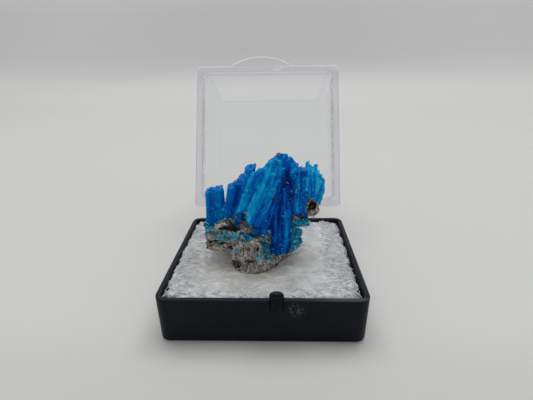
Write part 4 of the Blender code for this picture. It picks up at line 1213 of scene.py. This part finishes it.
def grow_bundle(name, spec, rng):
    """Broad plates grown together, with thin fibres over them and ragged rows behind."""
    bm = bmesh.new()
    layers = (bm.verts.layers.float.new("tone"), bm.verts.layers.float_vector.new("grain"))
    feet = [on_line(spec.feet, share, spec.y_foot) for share in (0, 0.5, 1)]
    heads = [on_line(spec.heads, share, spec.y_head) for share in (0, 0.5, 1)]
    upward = (heads[1] - feet[1]).normalized()
    across = heads[2] - heads[0]
    across -= upward * across.dot(upward)
    breadth = max(across.length, (feet[2] - feet[0]).length * 0.9)
    salt = Vector((len(name) * 7.3, spec.tone * 31, spec.depth))

    def place_fibre(share, width, thick, back, jog, kind):
        round_off = 0.10 * abs(2 * share - 1) ** 4 * (1 - back)
        patch = noise.noise(salt + Vector((share * breadth * 0.45, 0, 0)))
        shift = Vector((rng.uniform(-0.1, 0.1), spec.depth * (back + round_off) + jog + patch * 0.35, 0))
        foot = on_line(spec.feet, share, spec.y_foot) + shift
        head = on_line(spec.heads, share, spec.y_head) + shift + Vector((rng.uniform(-0.12, 0.12), 0, 0))
        broken = noise.noise(salt + Vector((share * breadth * 0.7, back * spec.depth * 0.4, 3)))
        lift = (broken * 1.5 + rng.uniform(-0.6, 0.6)) * spec.uneven - spec.drop * back - width * 0.25
        if kind == "plate":
            lift -= spec.spike * 1.8
        if kind == "thin" and back == 0:
            lift -= (head - foot).length * rng.choice((0, 0, 0, 0.05, 0.12, 0.25))
        head += (head - foot).normalized() * lift
        # Painted rim light: paler towards the bundle's left edge, and a little towards its right.
        edge = max(0.0, 1 - share * breadth / PAINTED_RIM_LIGHT_REACH) * 0.24
        edge += max(0.0, 1 - (1 - share) * breadth / PAINTED_RIM_LIGHT_REACH) * 0.10
        tone = spec.tone + patch * 0.16 + edge
        spike = spec.spike * rng.uniform(0.3, 1.0)
        place = salt + Vector((share * breadth, spec.depth * back, 0))
        fibre(bm, layers, foot, head, across, width, thick, tone, spike, place, rng)

    plate_rows = max(1, round(spec.depth / PLATE_DEPTH))
    for row in range(plate_rows):
        thick = spec.depth / plate_rows
        for share, width in bundle_columns(breadth, PLATE_WIDTHS, rng):
            place_fibre(share, width, thick, row / plate_rows, thick * 0.62 + rng.uniform(0, 0.35), "plate")
    rows = max(2, round(spec.depth / FIBRE_DEPTH))
    for share, width in bundle_columns(breadth, FIBRE_WIDTHS, rng):
        for row in range(rows):
            if row > 0 or rng.random() < THIN_SHARE:
                jog = FIBRE_DEPTH * 0.6 + rng.uniform(-0.1, 0.25)
                place_fibre(share, width, FIBRE_DEPTH, row / rows, jog, "thin")
    return bm


def crystal_relief(place, grain, grainy):
    """How far the crystals stand out at a place: soft ribs along the fibres, and grains in patches."""
    rib = noise.noise(Vector((grain.x * 1.9, grain.y * 1.9, grain.z * 0.12)))
    knobs = noise.voronoi(place * 1.3)[0][0]
    small = noise.voronoi(place * 2.4)[0][0]
    rough = (0.5 - knobs) * 0.55 + (0.45 - small) * 0.40 + fractal(place * 0.9, 2) * 0.35
    return rib * 0.10 + rough * grainy * 0.55


def make_crystals(rng):
    """The fibres, fused into one skin that carries their tones and directions."""
    fibres = merged_solids(grow_bundle(name, Bundle(*values), rng) for name, values in BUNDLES.items())
    fibres.faces.ensure_lookup_table()
    tree = BVHTree.FromBMesh(fibres)
    bm = even_skin(fibres.copy(), CRYSTAL_VOXEL, CRYSTAL_SMOOTHING)
    old_layers = (fibres.verts.layers.float["tone"], fibres.verts.layers.float_vector["grain"])
    grain_layer = bm.verts.layers.float_vector.new("grain")
    tone_layer, grainy_layer, lined_layer = number_layers(bm, "tone", "grainy", "lined")
    moves = []
    for vert in bm.verts:
        place, _, index, _ = tree.find_nearest(vert.co)
        corners = fibres.faces[index].verts
        shares = poly_3d_calc([corner.co for corner in corners], place)
        tone = sum(corner[old_layers[0]] * share for corner, share in zip(corners, shares))
        grain = sum((corner[old_layers[1]] * share for corner, share in zip(corners, shares)), Vector())
        grainy = 0.45
        lined = 1.0
        if vert.normal.dot(CAMERA_PLACE - vert.co) > 0:
            seen = photo_place(vert.co)
            # Own tone, painted highlights and painted shade, from the strokes.
            tone += stroke_sum(CRYSTAL_TONE_AND_PAINTED_LIGHT, seen)
            grainy = 0.15 + 0.85 * mark_strength(CRYSTAL_GRAINY, seen)
            lined = 1 - mark_strength(CRYSTAL_SMOOTH, seen)
        vert[tone_layer] = tone
        vert[grain_layer] = grain
        vert[grainy_layer] = grainy
        vert[lined_layer] = lined
        moves.append(vert.normal * crystal_relief(vert.co, grain, grainy))
    fibres.free()
    move_points(bm, moves)
    return bm


# Turquoise crust lumps: centre (X, Y, Z) and radius.
CRUST = (
    (8.8, -6.4, 26.9, 1.4), (10.2, -5.6, 25.6, 1.3), (9.2, -6.8, 24.2, 1.6), (10.3, -5.8, 22.4, 1.5),
    (9.0, -6.8, 21.2, 1.6), (10.4, -5.6, 19.9, 1.4), (8.9, -6.6, 18.6, 1.6), (10.2, -5.0, 18.2, 1.1),
    (11.6, -4.6, 25.4, 1.3), (12.5, -3.9, 25.1, 1.75), (8.4, -4.4, 26.0, 2.2), (8.6, -4.2, 22.4, 2.3),
    (8.8, -3.6, 19.2, 2.2), (-18.0, -3.2, 24.0, 1.0), (-17.4, -3.8, 22.6, 1.0),
)


def grain_ball(bm, tone_layer, centre, radius, tone, subdivisions, rng):
    """A knobbly grain."""
    made = bmesh.ops.create_icosphere(bm, subdivisions=subdivisions, radius=1.0)
    turn = Matrix.Rotation(rng.uniform(0, 6.28), 3, Vector((rng.random() + 0.1, rng.random(), rng.random())))
    shape = Vector(rng.uniform(0.7, 1.25) for _ in range(3)) * radius
    for vert in made["verts"]:
        rough = 1 + 0.45 * noise.noise(vert.co * 1.7 + centre)
        vert.co = centre + turn @ (vert.co * shape * rough)
        vert[tone_layer] = tone


CRUST_GRAINS_PER_MM = 46
CRUST_GRAIN_SIZES = (0.10, 0.32)


def make_crust(rng):
    """Granular turquoise crust: clusters down the right side."""
    bm = bmesh.new()
    tone_layer = bm.verts.layers.float.new("tone")
    for x, y, z, radius in CRUST:
        centre = Vector((x, y, z))
        grain_ball(bm, tone_layer, centre, radius * 0.82, 0.25, 3, rng)
        for _ in range(round(CRUST_GRAINS_PER_MM * radius)):
            way = Vector(rng.gauss(0, 1) for _ in range(3)).normalized()
            if way.y > 0.6:
                continue
            size = rng.uniform(*CRUST_GRAIN_SIZES)
            tone = 0.58 + 0.9 * noise.noise(centre + way * 3) + rng.uniform(-0.2, 0.35) - 0.2 * way.z * way.z
            grain_ball(bm, tone_layer, centre + way * radius * rng.uniform(0.74, 0.94), size, tone, 1, rng)
    return bm


# Patches of grains on the rock, as the rock's marks are, with a count and the tones they lie between.
GRAIN_PATCHES = (
    (226.0, 236.0, 10.0, 4.0, 80, 0.45, 1.05), (243.0, 237.5, 8.0, 4.0, 55, 0.10, 0.90),
    (257.0, 258.4, 2.0, 5.4, 46, 0.60, 0.95), (266.5, 247.0, 3.6, 8.5, 120, 0.05, 0.55),
    (268.0, 257.0, 4.5, 3.5, 50, 0.20, 0.75), (236.4, 251.5, 1.4, 3.0, 14, 0.60, 0.90),
    (210.0, 231.0, 4.0, 3.0, 34, 0.30, 0.75), (250.0, 236.5, 5.0, 2.6, 30, 0.00, 0.40),
)


JOINED_GRAINS = (1000, 0.15, 0.85)
JOINED_REACH = 1.3
GRAIN_SIZES = (0.10, 0.42)


def grow_grains(bm, rock, crystal_tree, rng):
    """Small grains where the crystals meet the rock, and in patches on the rock."""
    tone_layer = bm.verts.layers.float["tone"]
    joined = []
    patches = [[] for _ in GRAIN_PATCHES]
    for vert in rock.data.vertices:
        place = vert.co / MM
        if vert.normal.dot(CAMERA_PLACE - place) > 0:
            seen = photo_place(place)
            for found, patch in zip(patches, GRAIN_PATCHES):
                if mark_strength([(*patch[:4], 1.0)], seen) > 0.5:
                    found.append((place, vert.normal.copy()))
        if crystal_tree.find_nearest(place, JOINED_REACH)[0] is not None and vert.normal.z > -0.3:
            joined.append((place, vert.normal.copy()))
    spread_out = [(joined, *JOINED_GRAINS)]
    spread_out += [(found, *patch[4:]) for found, patch in zip(patches, GRAIN_PATCHES)]
    for places, count, low, high in spread_out:
        for place, normal in rng.sample(places, min(len(places), count)):
            size = rng.uniform(*GRAIN_SIZES)
            grain_ball(bm, tone_layer, place + normal * size * 0.1, size, rng.uniform(low, high), 1, rng)


FLECK_COUNT = 1500
FLECK_SIZES = (0.07, 0.22)
FLECK_TONES = (0.45, 1.05)


def make_flecks(crystals, rng):
    """Small pale crystals that sit in patches on the open faces of the large ones."""
    bm = bmesh.new()
    tone_layer = bm.verts.layers.float.new("tone")
    tree = tree_of(crystals)
    faces = list(crystals.data.polygons)
    areas = [face.area for face in faces]
    points = [vert.co / MM for vert in crystals.data.vertices]
    grown = 0
    for face in rng.choices(faces, weights=areas, k=FLECK_COUNT * 12):
        corners = [points[index] for index in face.vertices]
        shares = [rng.random() + 0.01 for _ in corners]
        place = sum((corner * share for corner, share in zip(corners, shares)), Vector()) / sum(shares)
        grainy = max(0.25, mark_strength(CRYSTAL_GRAINY, photo_place(place)))
        if noise.noise(place * 0.6) * 0.6 + grainy < rng.uniform(0.2, 1.1):
            continue
        outward = face.normal.copy()
        if tree.ray_cast(place + outward * 0.12, outward, 4.0)[0] is not None:
            continue
        size = rng.uniform(*FLECK_SIZES)
        grain_ball(bm, tone_layer, place + outward * size * 0.2, size, rng.uniform(*FLECK_TONES), 1, rng)
        grown += 1
        if grown == FLECK_COUNT:
            break
    flecks = mesh_object("crystal_flecks", bm)
    return finish_piece(flecks, crystals.data.materials[0], "box", sharp=50)


# Small grains of brown matrix on the crystals: place in the photo's frame and radius in millimetres.
BROWN_GRAINS = (
    (278.3, 154.2, 0.62), (276.6, 155.6, 0.4), (276.2, 161.4, 0.50), (300.7, 167.4, 0.52),
    (287.0, 182.5, 0.46), (272.8, 196.7, 0.56), (274.6, 197.6, 0.4), (295.6, 192.4, 0.50),
    (296.2, 190.4, 0.35), (292.1, 201.4, 0.42), (237.9, 179.4, 0.36), (236.3, 180.9, 0.3),
    (234.8, 182.2, 0.28), (240.0, 178.2, 0.26), (246.5, 213.9, 0.66), (244.9, 212.6, 0.45),
    (243.9, 222.6, 0.62), (240.6, 220.8, 0.5), (248.0, 224.6, 0.4), (236.4, 217.6, 0.55),
    (219.4, 186.6, 0.34), (225.0, 205.0, 0.3), (268.8, 231.4, 0.5), (252.6, 233.0, 0.5),
    (247.4, 190.6, 0.3), (293.6, 214.6, 0.45), (296.8, 215.0, 0.4), (300.0, 215.6, 0.4),
    (303.0, 214.4, 0.4), (295.4, 217.8, 0.6), (298.2, 218.8, 0.5), (293.8, 219.8, 0.45),
    (290.5, 219.0, 0.4),
)


def make_brown_grains(trees, look, rng):
    """Each grain sits where its sight line meets the specimen."""
    bm = bmesh.new()
    tone, fissure_and_shade, _, lightened = number_layers(bm, "tone", "fissure_and_shade", "stain", "lightened")
    for x, y, radius in BROWN_GRAINS:
        way = sight_line(x, y)
        hits = [tree.ray_cast(CAMERA_PLACE, way) for tree in trees]
        hits = [hit for hit in hits if hit[0] is not None]
        if not hits:
            continue
        place = min(hits, key=lambda hit: hit[3])[0]
        for part in range(4):
            jog = Vector(rng.uniform(-0.6, 0.6) for _ in range(3)) * radius * (part > 0)
            size = radius * (0.8 if part == 0 else rng.uniform(0.3, 0.6))
            before = len(bm.verts)
            grain_ball(bm, tone, place + jog, size, 0.0, 2, rng)
            bm.verts.ensure_lookup_table()
            for vert in bm.verts[before:]:
                vert[fissure_and_shade] = 0.55 * (part == 1) + rng.uniform(0, 0.2)
                vert[lightened] = 0.5 * (part == 2)
    grains = mesh_object("brown_grains", bm)
    return finish_piece(grains, look, "box")


# Wadding

PAD_CORNER_POWER = 14
PAD_CELLS = 190
PAD_EDGE_RISE = 0.35
PAD_EDGE_DROP = 1.3
PAD_LEFT_DROP = 0.5

# Places on the wadding with painted light, which lifts the shade under and beside the rock, and painted
# shadow in front of the rock, as the rock's marks are.
PAD_PAINTED_LIGHT = (
    (214.0, 255.0, 13.0, 6.0, 0.9), (309.0, 260.0, 12.0, 9.0, 0.7), (330.0, 248.0, 12.0, 8.0, 0.2),
)
PAD_PAINTED_SHADOW = (
    (250.0, 277.5, 17.0, 3.4, 1.0), (276.0, 272.0, 13.0, 4.0, 0.8), (228.0, 268.0, 7.0, 4.0, 0.7),
    (252.0, 287.0, 24.0, 7.0, 0.45), (290.0, 284.0, 20.0, 7.0, 0.4), (205.0, 283.0, 16.0, 8.0, 0.35),
)
RAYS_FROM = Vector((-1.5, -1.0, 0))


def pad_place(u, v):
    """A place in the unit square, moved onto the pad's outline, which is ragged along the walls."""
    reach = max(abs(u), abs(v))
    if reach < 1e-6:
        return 0.0, 0.0
    power = PAD_CORNER_POWER
    soft = (abs(u / reach) ** power + abs(v / reach) ** power) ** (-1 / power)
    x, y = u * PAD_HALF * soft, v * PAD_HALF * soft
    ragged = fractal(Vector((u / reach, v / reach, 0)) * 8.0 + Vector((2, 5, 1)), 3)
    inward = max(0.0, (0.45 if u > 0 else 0.05) + 2.2 * ragged) * reach**12
    return x - u / reach * inward, y - v / reach * inward * (0.2 if v < 0 else 0.8)


def pad_height(x, y, reach):
    """Soft lumps of the fibre wadding, and streaks that run outward from under the specimen."""
    clumps = fractal(Vector((x, y, 0)) * 0.15, 2)
    tufts = noise.noise(Vector((x, y, 4)) * 0.50)
    away = Vector((x, y, 0)) - RAYS_FROM
    turn = math.atan2(away.y, away.x) + 0.25 * noise.noise(Vector((x, y, 9)) * 0.2)
    rays = fractal(Vector((math.cos(turn) * 7, math.sin(turn) * 7, away.length * 0.22)), 2)
    z = PAD_TOP + 0.45 * clumps + 0.30 * tufts + 0.20 * rays + 0.10 * fractal(Vector((x, y, 1)) * 1.4, 2)
    near_wall = max(0.0, (reach - 0.70) / 0.30)
    left_rise = max(0.0, -x / 26 - 0.6)
    z += near_wall * (PAD_EDGE_RISE + left_rise + 0.55 * fractal(Vector((x, y, 2)) * 0.8, 3))
    return z - (PAD_EDGE_DROP if x > -20 else PAD_LEFT_DROP) * max(0.0, (reach - 0.95) / 0.05) ** 2


def make_wadding(rests_on_it):
    trees = [tree_of(obj) for obj in rests_on_it]
    bm = bmesh.new()
    bmesh.ops.create_grid(bm, x_segments=PAD_CELLS, y_segments=PAD_CELLS, size=1.0)
    painted_crease_shade, dust_and_shade, pale, dim = number_layers(bm, "painted_crease_shade", "dust_and_shade", "pale", "dim")
    for vert in bm.verts:
        u, v = vert.co.x, vert.co.y
        x, y = pad_place(u, v)
        reach = max(abs(u), abs(v))
        z = pad_height(x, y, reach)
        outer = max(0.0, (reach - 0.5) / 0.5)
        # Painted shade: darker where the wadding lies low, more so towards the walls.
        vert[painted_crease_shade] = max(0.0, min(1.0, (PAD_TOP + 0.1 - z) / 1.1)) * (0.4 + 0.6 * outer)
        # Dust from the rock and painted shade, fading with distance from under the specimen.
        vert[dust_and_shade] = max(0.0, min(1.0, 1.35 - (Vector((x, y, 0)) - RAYS_FROM).length / 19.0))
        seen = photo_place(Vector((x, y, z)))
        # Painted light and painted shadow, at their marked places.
        vert[pale] = mark_strength(PAD_PAINTED_LIGHT, seen)
        vert[dim] = mark_strength(PAD_PAINTED_SHADOW, seen)
        for tree in trees:
            below = tree.ray_cast(Vector((x, y, -5)), Vector((0, 0, 1)))[0]
            if below is not None:
                z = min(z, below.z - 0.05)
        vert.co = Vector((x, y, z))
    boundary = [edge for edge in bm.edges if edge.is_boundary]
    for level in (PAD_TOP - 3.0, PAD_LOW):
        made = bmesh.ops.extrude_edge_only(bm, edges=boundary)
        for vert in new_points(made):
            vert.co = Vector((vert.co.x * 0.985, vert.co.y * 0.985, level))
        boundary = [edge for edge in bm.edges if edge.is_boundary]
    bmesh.ops.contextual_create(bm, geom=boundary)
    bmesh.ops.recalc_face_normals(bm, faces=bm.faces)
    pad = mesh_object("wadding", bm)
    finish_piece(pad, wadding_look(), "box", ["padding"])
    return pad


# Tufts and loose fibres: count, length of a step, bend, lift, girth, and whether they keep to the walls.
STRAND_KINDS = (
    (1150, (0.35, 0.85), 0.34, (0.05, 0.60), (1.3, 3.2), True),
    (700, (0.60, 1.30), 0.22, (0.00, 0.14), (0.6, 1.6), False),
)
STRAND_RADIUS = 0.05
PAINTED_GLINT_COUNT = 70
STRAND_POINTS = 7
STRAND_START = 26.2
STRAND_REACH = 26.75
UNDER_FLANGE = LID_HALF_LOW - LID_WALL - 0.7


def lay_strand(pad_tree, blocked_trees, start, step, bend, lift, rng):
    """Places along one fibre that lies over the wadding, or fewer where it would leave the tray."""
    x, y = start
    heading = math.atan2(y - RAYS_FROM.y, x - RAYS_FROM.x) + rng.gauss(0, 0.7)
    points = []
    level = PAD_TOP
    for index in range(STRAND_POINTS):
        if max(abs(x), abs(y)) > STRAND_REACH:
            break
        hit = pad_tree.ray_cast(Vector((x, y, 30)), Vector((0, 0, -1)))[0]
        level = max(hit.z, level - 0.35) if hit is not None else level - 0.1
        hump = math.sin(index / (STRAND_POINTS - 1) * math.pi) * lift
        place = Vector((x, y, level + hump - 0.06))
        if max(abs(x), abs(y)) > UNDER_FLANGE:
            place.z = min(place.z, FLANGE_LOW - 0.25)
        if any(tree.find_nearest(place, 0.35)[0] is not None for tree in blocked_trees):
            break
        points.append(place)
        heading += bend + rng.gauss(0, 0.18)
        x += math.cos(heading) * step
        y += math.sin(heading) * step
        if hit is None and index == 0:
            break
    return points


def strand_start(near_wall, rng):
    """Where a fibre starts: anywhere on the pad, or near the walls where the curls are thick."""
    while True:
        x, y = rng.uniform(-STRAND_START, STRAND_START), rng.uniform(-STRAND_START, STRAND_START)
        reach = max(abs(x), abs(y) * 0.85) / STRAND_START
        if not near_wall or reach > rng.uniform(0.62, 1.05):
            return x, y


def make_strands(pad, blocked, rng):
    """Tufts, loose fibres and a few near-white specks, painted glints, that lie over the wadding."""
    pad_tree = tree_of(pad)
    blocked_trees = [tree_of(obj) for obj in blocked]
    curve = bpy.data.curves.new("strands", "CURVE")
    curve.dimensions = "3D"
    curve.bevel_depth = STRAND_RADIUS * MM
    curve.bevel_resolution = 0
    curve.resolution_u = 1
    curve.use_fill_caps = True
    for count, steps, bends, lifts, thick, near_wall in STRAND_KINDS:
        made = 0
        while made < count:
            start = strand_start(near_wall, rng)
            shape = (rng.uniform(*steps), rng.gauss(0, bends), rng.uniform(*lifts))
            points = lay_strand(pad_tree, blocked_trees, start, *shape, rng)
            if len(points) < 4:
                continue
            made += 1
            spline = curve.splines.new("POLY")
            spline.points.add(len(points) - 1)
            girth = rng.uniform(*thick)
            for index, (point, place) in enumerate(zip(spline.points, points)):
                point.co = (*(place * MM), 1)
                point.radius = girth * (0.2 + math.sin((index + 0.3) / (len(points) - 0.4) * math.pi) * 0.8)
    source = linked(bpy.data.objects.new("strands", curve))
    graph = bpy.context.evaluated_depsgraph_get()
    bm = bmesh.new()
    bm.from_mesh(bpy.data.meshes.new_from_object(source.evaluated_get(graph)))
    bpy.data.objects.remove(source, do_unlink=True)
    bmesh.ops.scale(bm, vec=(1 / MM, 1 / MM, 1 / MM), verts=bm.verts)
    painted_glint = bm.verts.layers.float.new("painted_glint")
    painted_glints = 0
    while painted_glints < PAINTED_GLINT_COUNT:
        x, y = strand_start(False, rng)
        hit = pad_tree.ray_cast(Vector((x, y, 30)), Vector((0, 0, -1)))[0]
        if hit is None:
            continue
        size = rng.uniform(0.08, 0.2)
        made = bmesh.ops.create_icosphere(bm, subdivisions=1, radius=size, matrix=Matrix.Translation(hit))
        for vert in made["verts"]:
            vert[painted_glint] = 1.0
        painted_glints += 1
    strands = mesh_object("wadding_strands", bm)
    return finish_piece(strands, strand_look(), "box")


# Stage, light and camera

FLOOR_BACK = 420.0
SWEEP_RADIUS = 330.0
STAGE_HALF = 2200.0
WALL_ABOVE_SWEEP = 1400.0
BACKDROP_TOP = 200.0
# Painted light and shade by height up the sweep, as a share of the backdrop's top: lighter low down and high
# up, darker in between.
BACKDROP_PAINTED_SHADES = (
    (0.00, (0.805, 0.805, 0.785)),
    (0.06, (0.842, 0.842, 0.821)),
    (0.15, (0.837, 0.837, 0.821)),
    (0.26, (0.770, 0.770, 0.762)),
    (0.38, (0.726, 0.726, 0.724)),
    (0.52, (0.735, 0.735, 0.731)),
    (0.74, (0.763, 0.763, 0.758)),
    (0.90, (0.837, 0.837, 0.832)),
)

# Painted shade: darker behind the middle of the stage, and on the floor towards the front.
CENTRE_PAINTED_SHADE = (0.885, 0.885, 0.895)
FRONT_PAINTED_SHADE = (0.30, 0.30, 0.30)
PAPER_SHADE = (0.5, 0.5, 0.5)

ROOM_COLOUR = (0.225, 0.227, 0.237, 1)
LIT_PLACE = Vector((0, 0, 15))
SOFT_BOXES = (
    ("soft box above", (60, 580, 1220), 1500, 16.8, (1.0, 1.0, 0.99)),
    ("soft box in front", (0, -1150, 620), 900, 2.3, (1.0, 0.99, 0.97)),
)


def make_stage():
    """A paper sweep: a floor that curves up into a wall behind."""
    bm = bmesh.new()
    start = bm.verts.new((-STAGE_HALF, -STAGE_HALF, 0))
    edge = bm.verts.new((-STAGE_HALF, FLOOR_BACK, 0))
    bm.edges.new((start, edge))
    bmesh.ops.spin(
        bm, geom=[edge], cent=(-STAGE_HALF, FLOOR_BACK, SWEEP_RADIUS), axis=(1, 0, 0), angle=math.radians(90),
        steps=24, use_merge=False, use_duplicate=False, dvec=(0, 0, 0),
    )
    last = max(bm.verts, key=lambda vert: (vert.co.y, vert.co.z))
    top = bm.verts.new(last.co + Vector((0, 0, WALL_ABOVE_SWEEP)))
    bm.edges.new((last, top))
    made = bmesh.ops.extrude_edge_only(bm, edges=list(bm.edges))
    bmesh.ops.translate(bm, vec=(2 * STAGE_HALF, 0, 0), verts=new_points(made))
    bmesh.ops.recalc_face_normals(bm, faces=bm.faces)
    floor = mesh_object("floor", bm)
    floor.data.shade_smooth()
    look, tree, inputs = new_look("pale paper", Roughness=0.9, Specular_IOR_Level=0.1)
    place = object_place(tree)
    split = add(tree, "ShaderNodeSeparateXYZ", Vector=place).outputs
    height = between(tree, split["Z"], 0.0, BACKDROP_TOP * MM)
    height.node.interpolation_type = "LINEAR"
    # Painted light and shade, by height.
    colour = colours(tree, height, BACKDROP_PAINTED_SHADES)
    # Painted shade behind the middle, away from the sides and above the floor.
    aside = between(tree, size_of(tree, split["X"]), 0.05, 0.45)
    low_down = between(tree, split["Z"], 0.02, 0.07, 1.0, 0.0)
    whole = higher(tree, aside, low_down)
    centre = blend_colour(tree, 1.0, colour, CENTRE_PAINTED_SHADE, "MULTIPLY")
    colour = blend_colour(tree, whole, centre, colour)
    # Painted shade: the floor darker towards the front.
    near = between(tree, split["Y"], -0.015, -0.050)
    colour = blend_colour(tree, times(tree, near, 0.12), colour, FRONT_PAINTED_SHADE)
    soft = clouds(tree, place, 2.0, 2.0)
    colour = blend_colour(tree, times(tree, soft, 0.06), colour, PAPER_SHADE)
    tree.links.new(colour, inputs["Base Color"])
    floor.data.materials.append(look)


def make_light():
    world = bpy.data.worlds.new("room")
    world.use_nodes = True
    SCENE.world = world
    background = world.node_tree.nodes["Background"]
    background.inputs["Color"].default_value = ROOM_COLOUR
    background.inputs["Strength"].default_value = 1.0
    for name, place, size, energy, colour in SOFT_BOXES:
        data = bpy.data.lights.new(name, "AREA")
        data.shape = "SQUARE"
        data.size = size * MM
        data.energy = energy
        data.color = colour
        lamp = linked(bpy.data.objects.new(name, data))
        lamp.location = Vector(place) * MM
        lamp.rotation_euler = (LIT_PLACE * MM - lamp.location).to_track_quat("-Z", "Y").to_euler()


def make_camera():
    data = bpy.data.cameras.new("camera")
    data.sensor_width = SENSOR
    data.lens = FOCAL_PIXELS / PHOTO_WIDTH * SENSOR
    data.clip_start = 0.005
    data.clip_end = 50.0
    camera = linked(bpy.data.objects.new("camera", data))
    matrix = Matrix((CAMERA_RIGHT, CAMERA_UP, -CAMERA_FORWARD)).transposed().to_4x4()
    matrix.translation = CAMERA_PLACE * MM
    camera.matrix_world = matrix
    SCENE.camera = camera


def main():
    rng = random.Random(SEED)
    make_camera()
    make_stage()
    make_light()
    make_tray()
    make_lid()
    crystal_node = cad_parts["chalcanthite"]
    rock = make_rock(tree_of(crystal_node))
    fragment = make_fragment()
    crystals = mesh_object("chalcanthite_crystals", make_crystals(rng))
    finish_piece(crystals, crystal_look(), "box", ["chalcanthite"], sharp=30)
    crust_bm = make_crust(rng)
    grow_grains(crust_bm, rock, tree_of(crystal_node), rng)
    make_flecks(crystals, rng)
    crust = mesh_object("turquoise_crust", crust_bm)
    finish_piece(crust, crust_look(), "box", sharp=50)
    make_brown_grains([tree_of(obj) for obj in (crystals, rock, crust)], fragment.data.materials[0], rng)
    pad = make_wadding([rock, crystal_node])
    make_strands(pad, [rock, crystal_node], rng)
    SCENE.view_settings.view_transform = "Standard"


main()
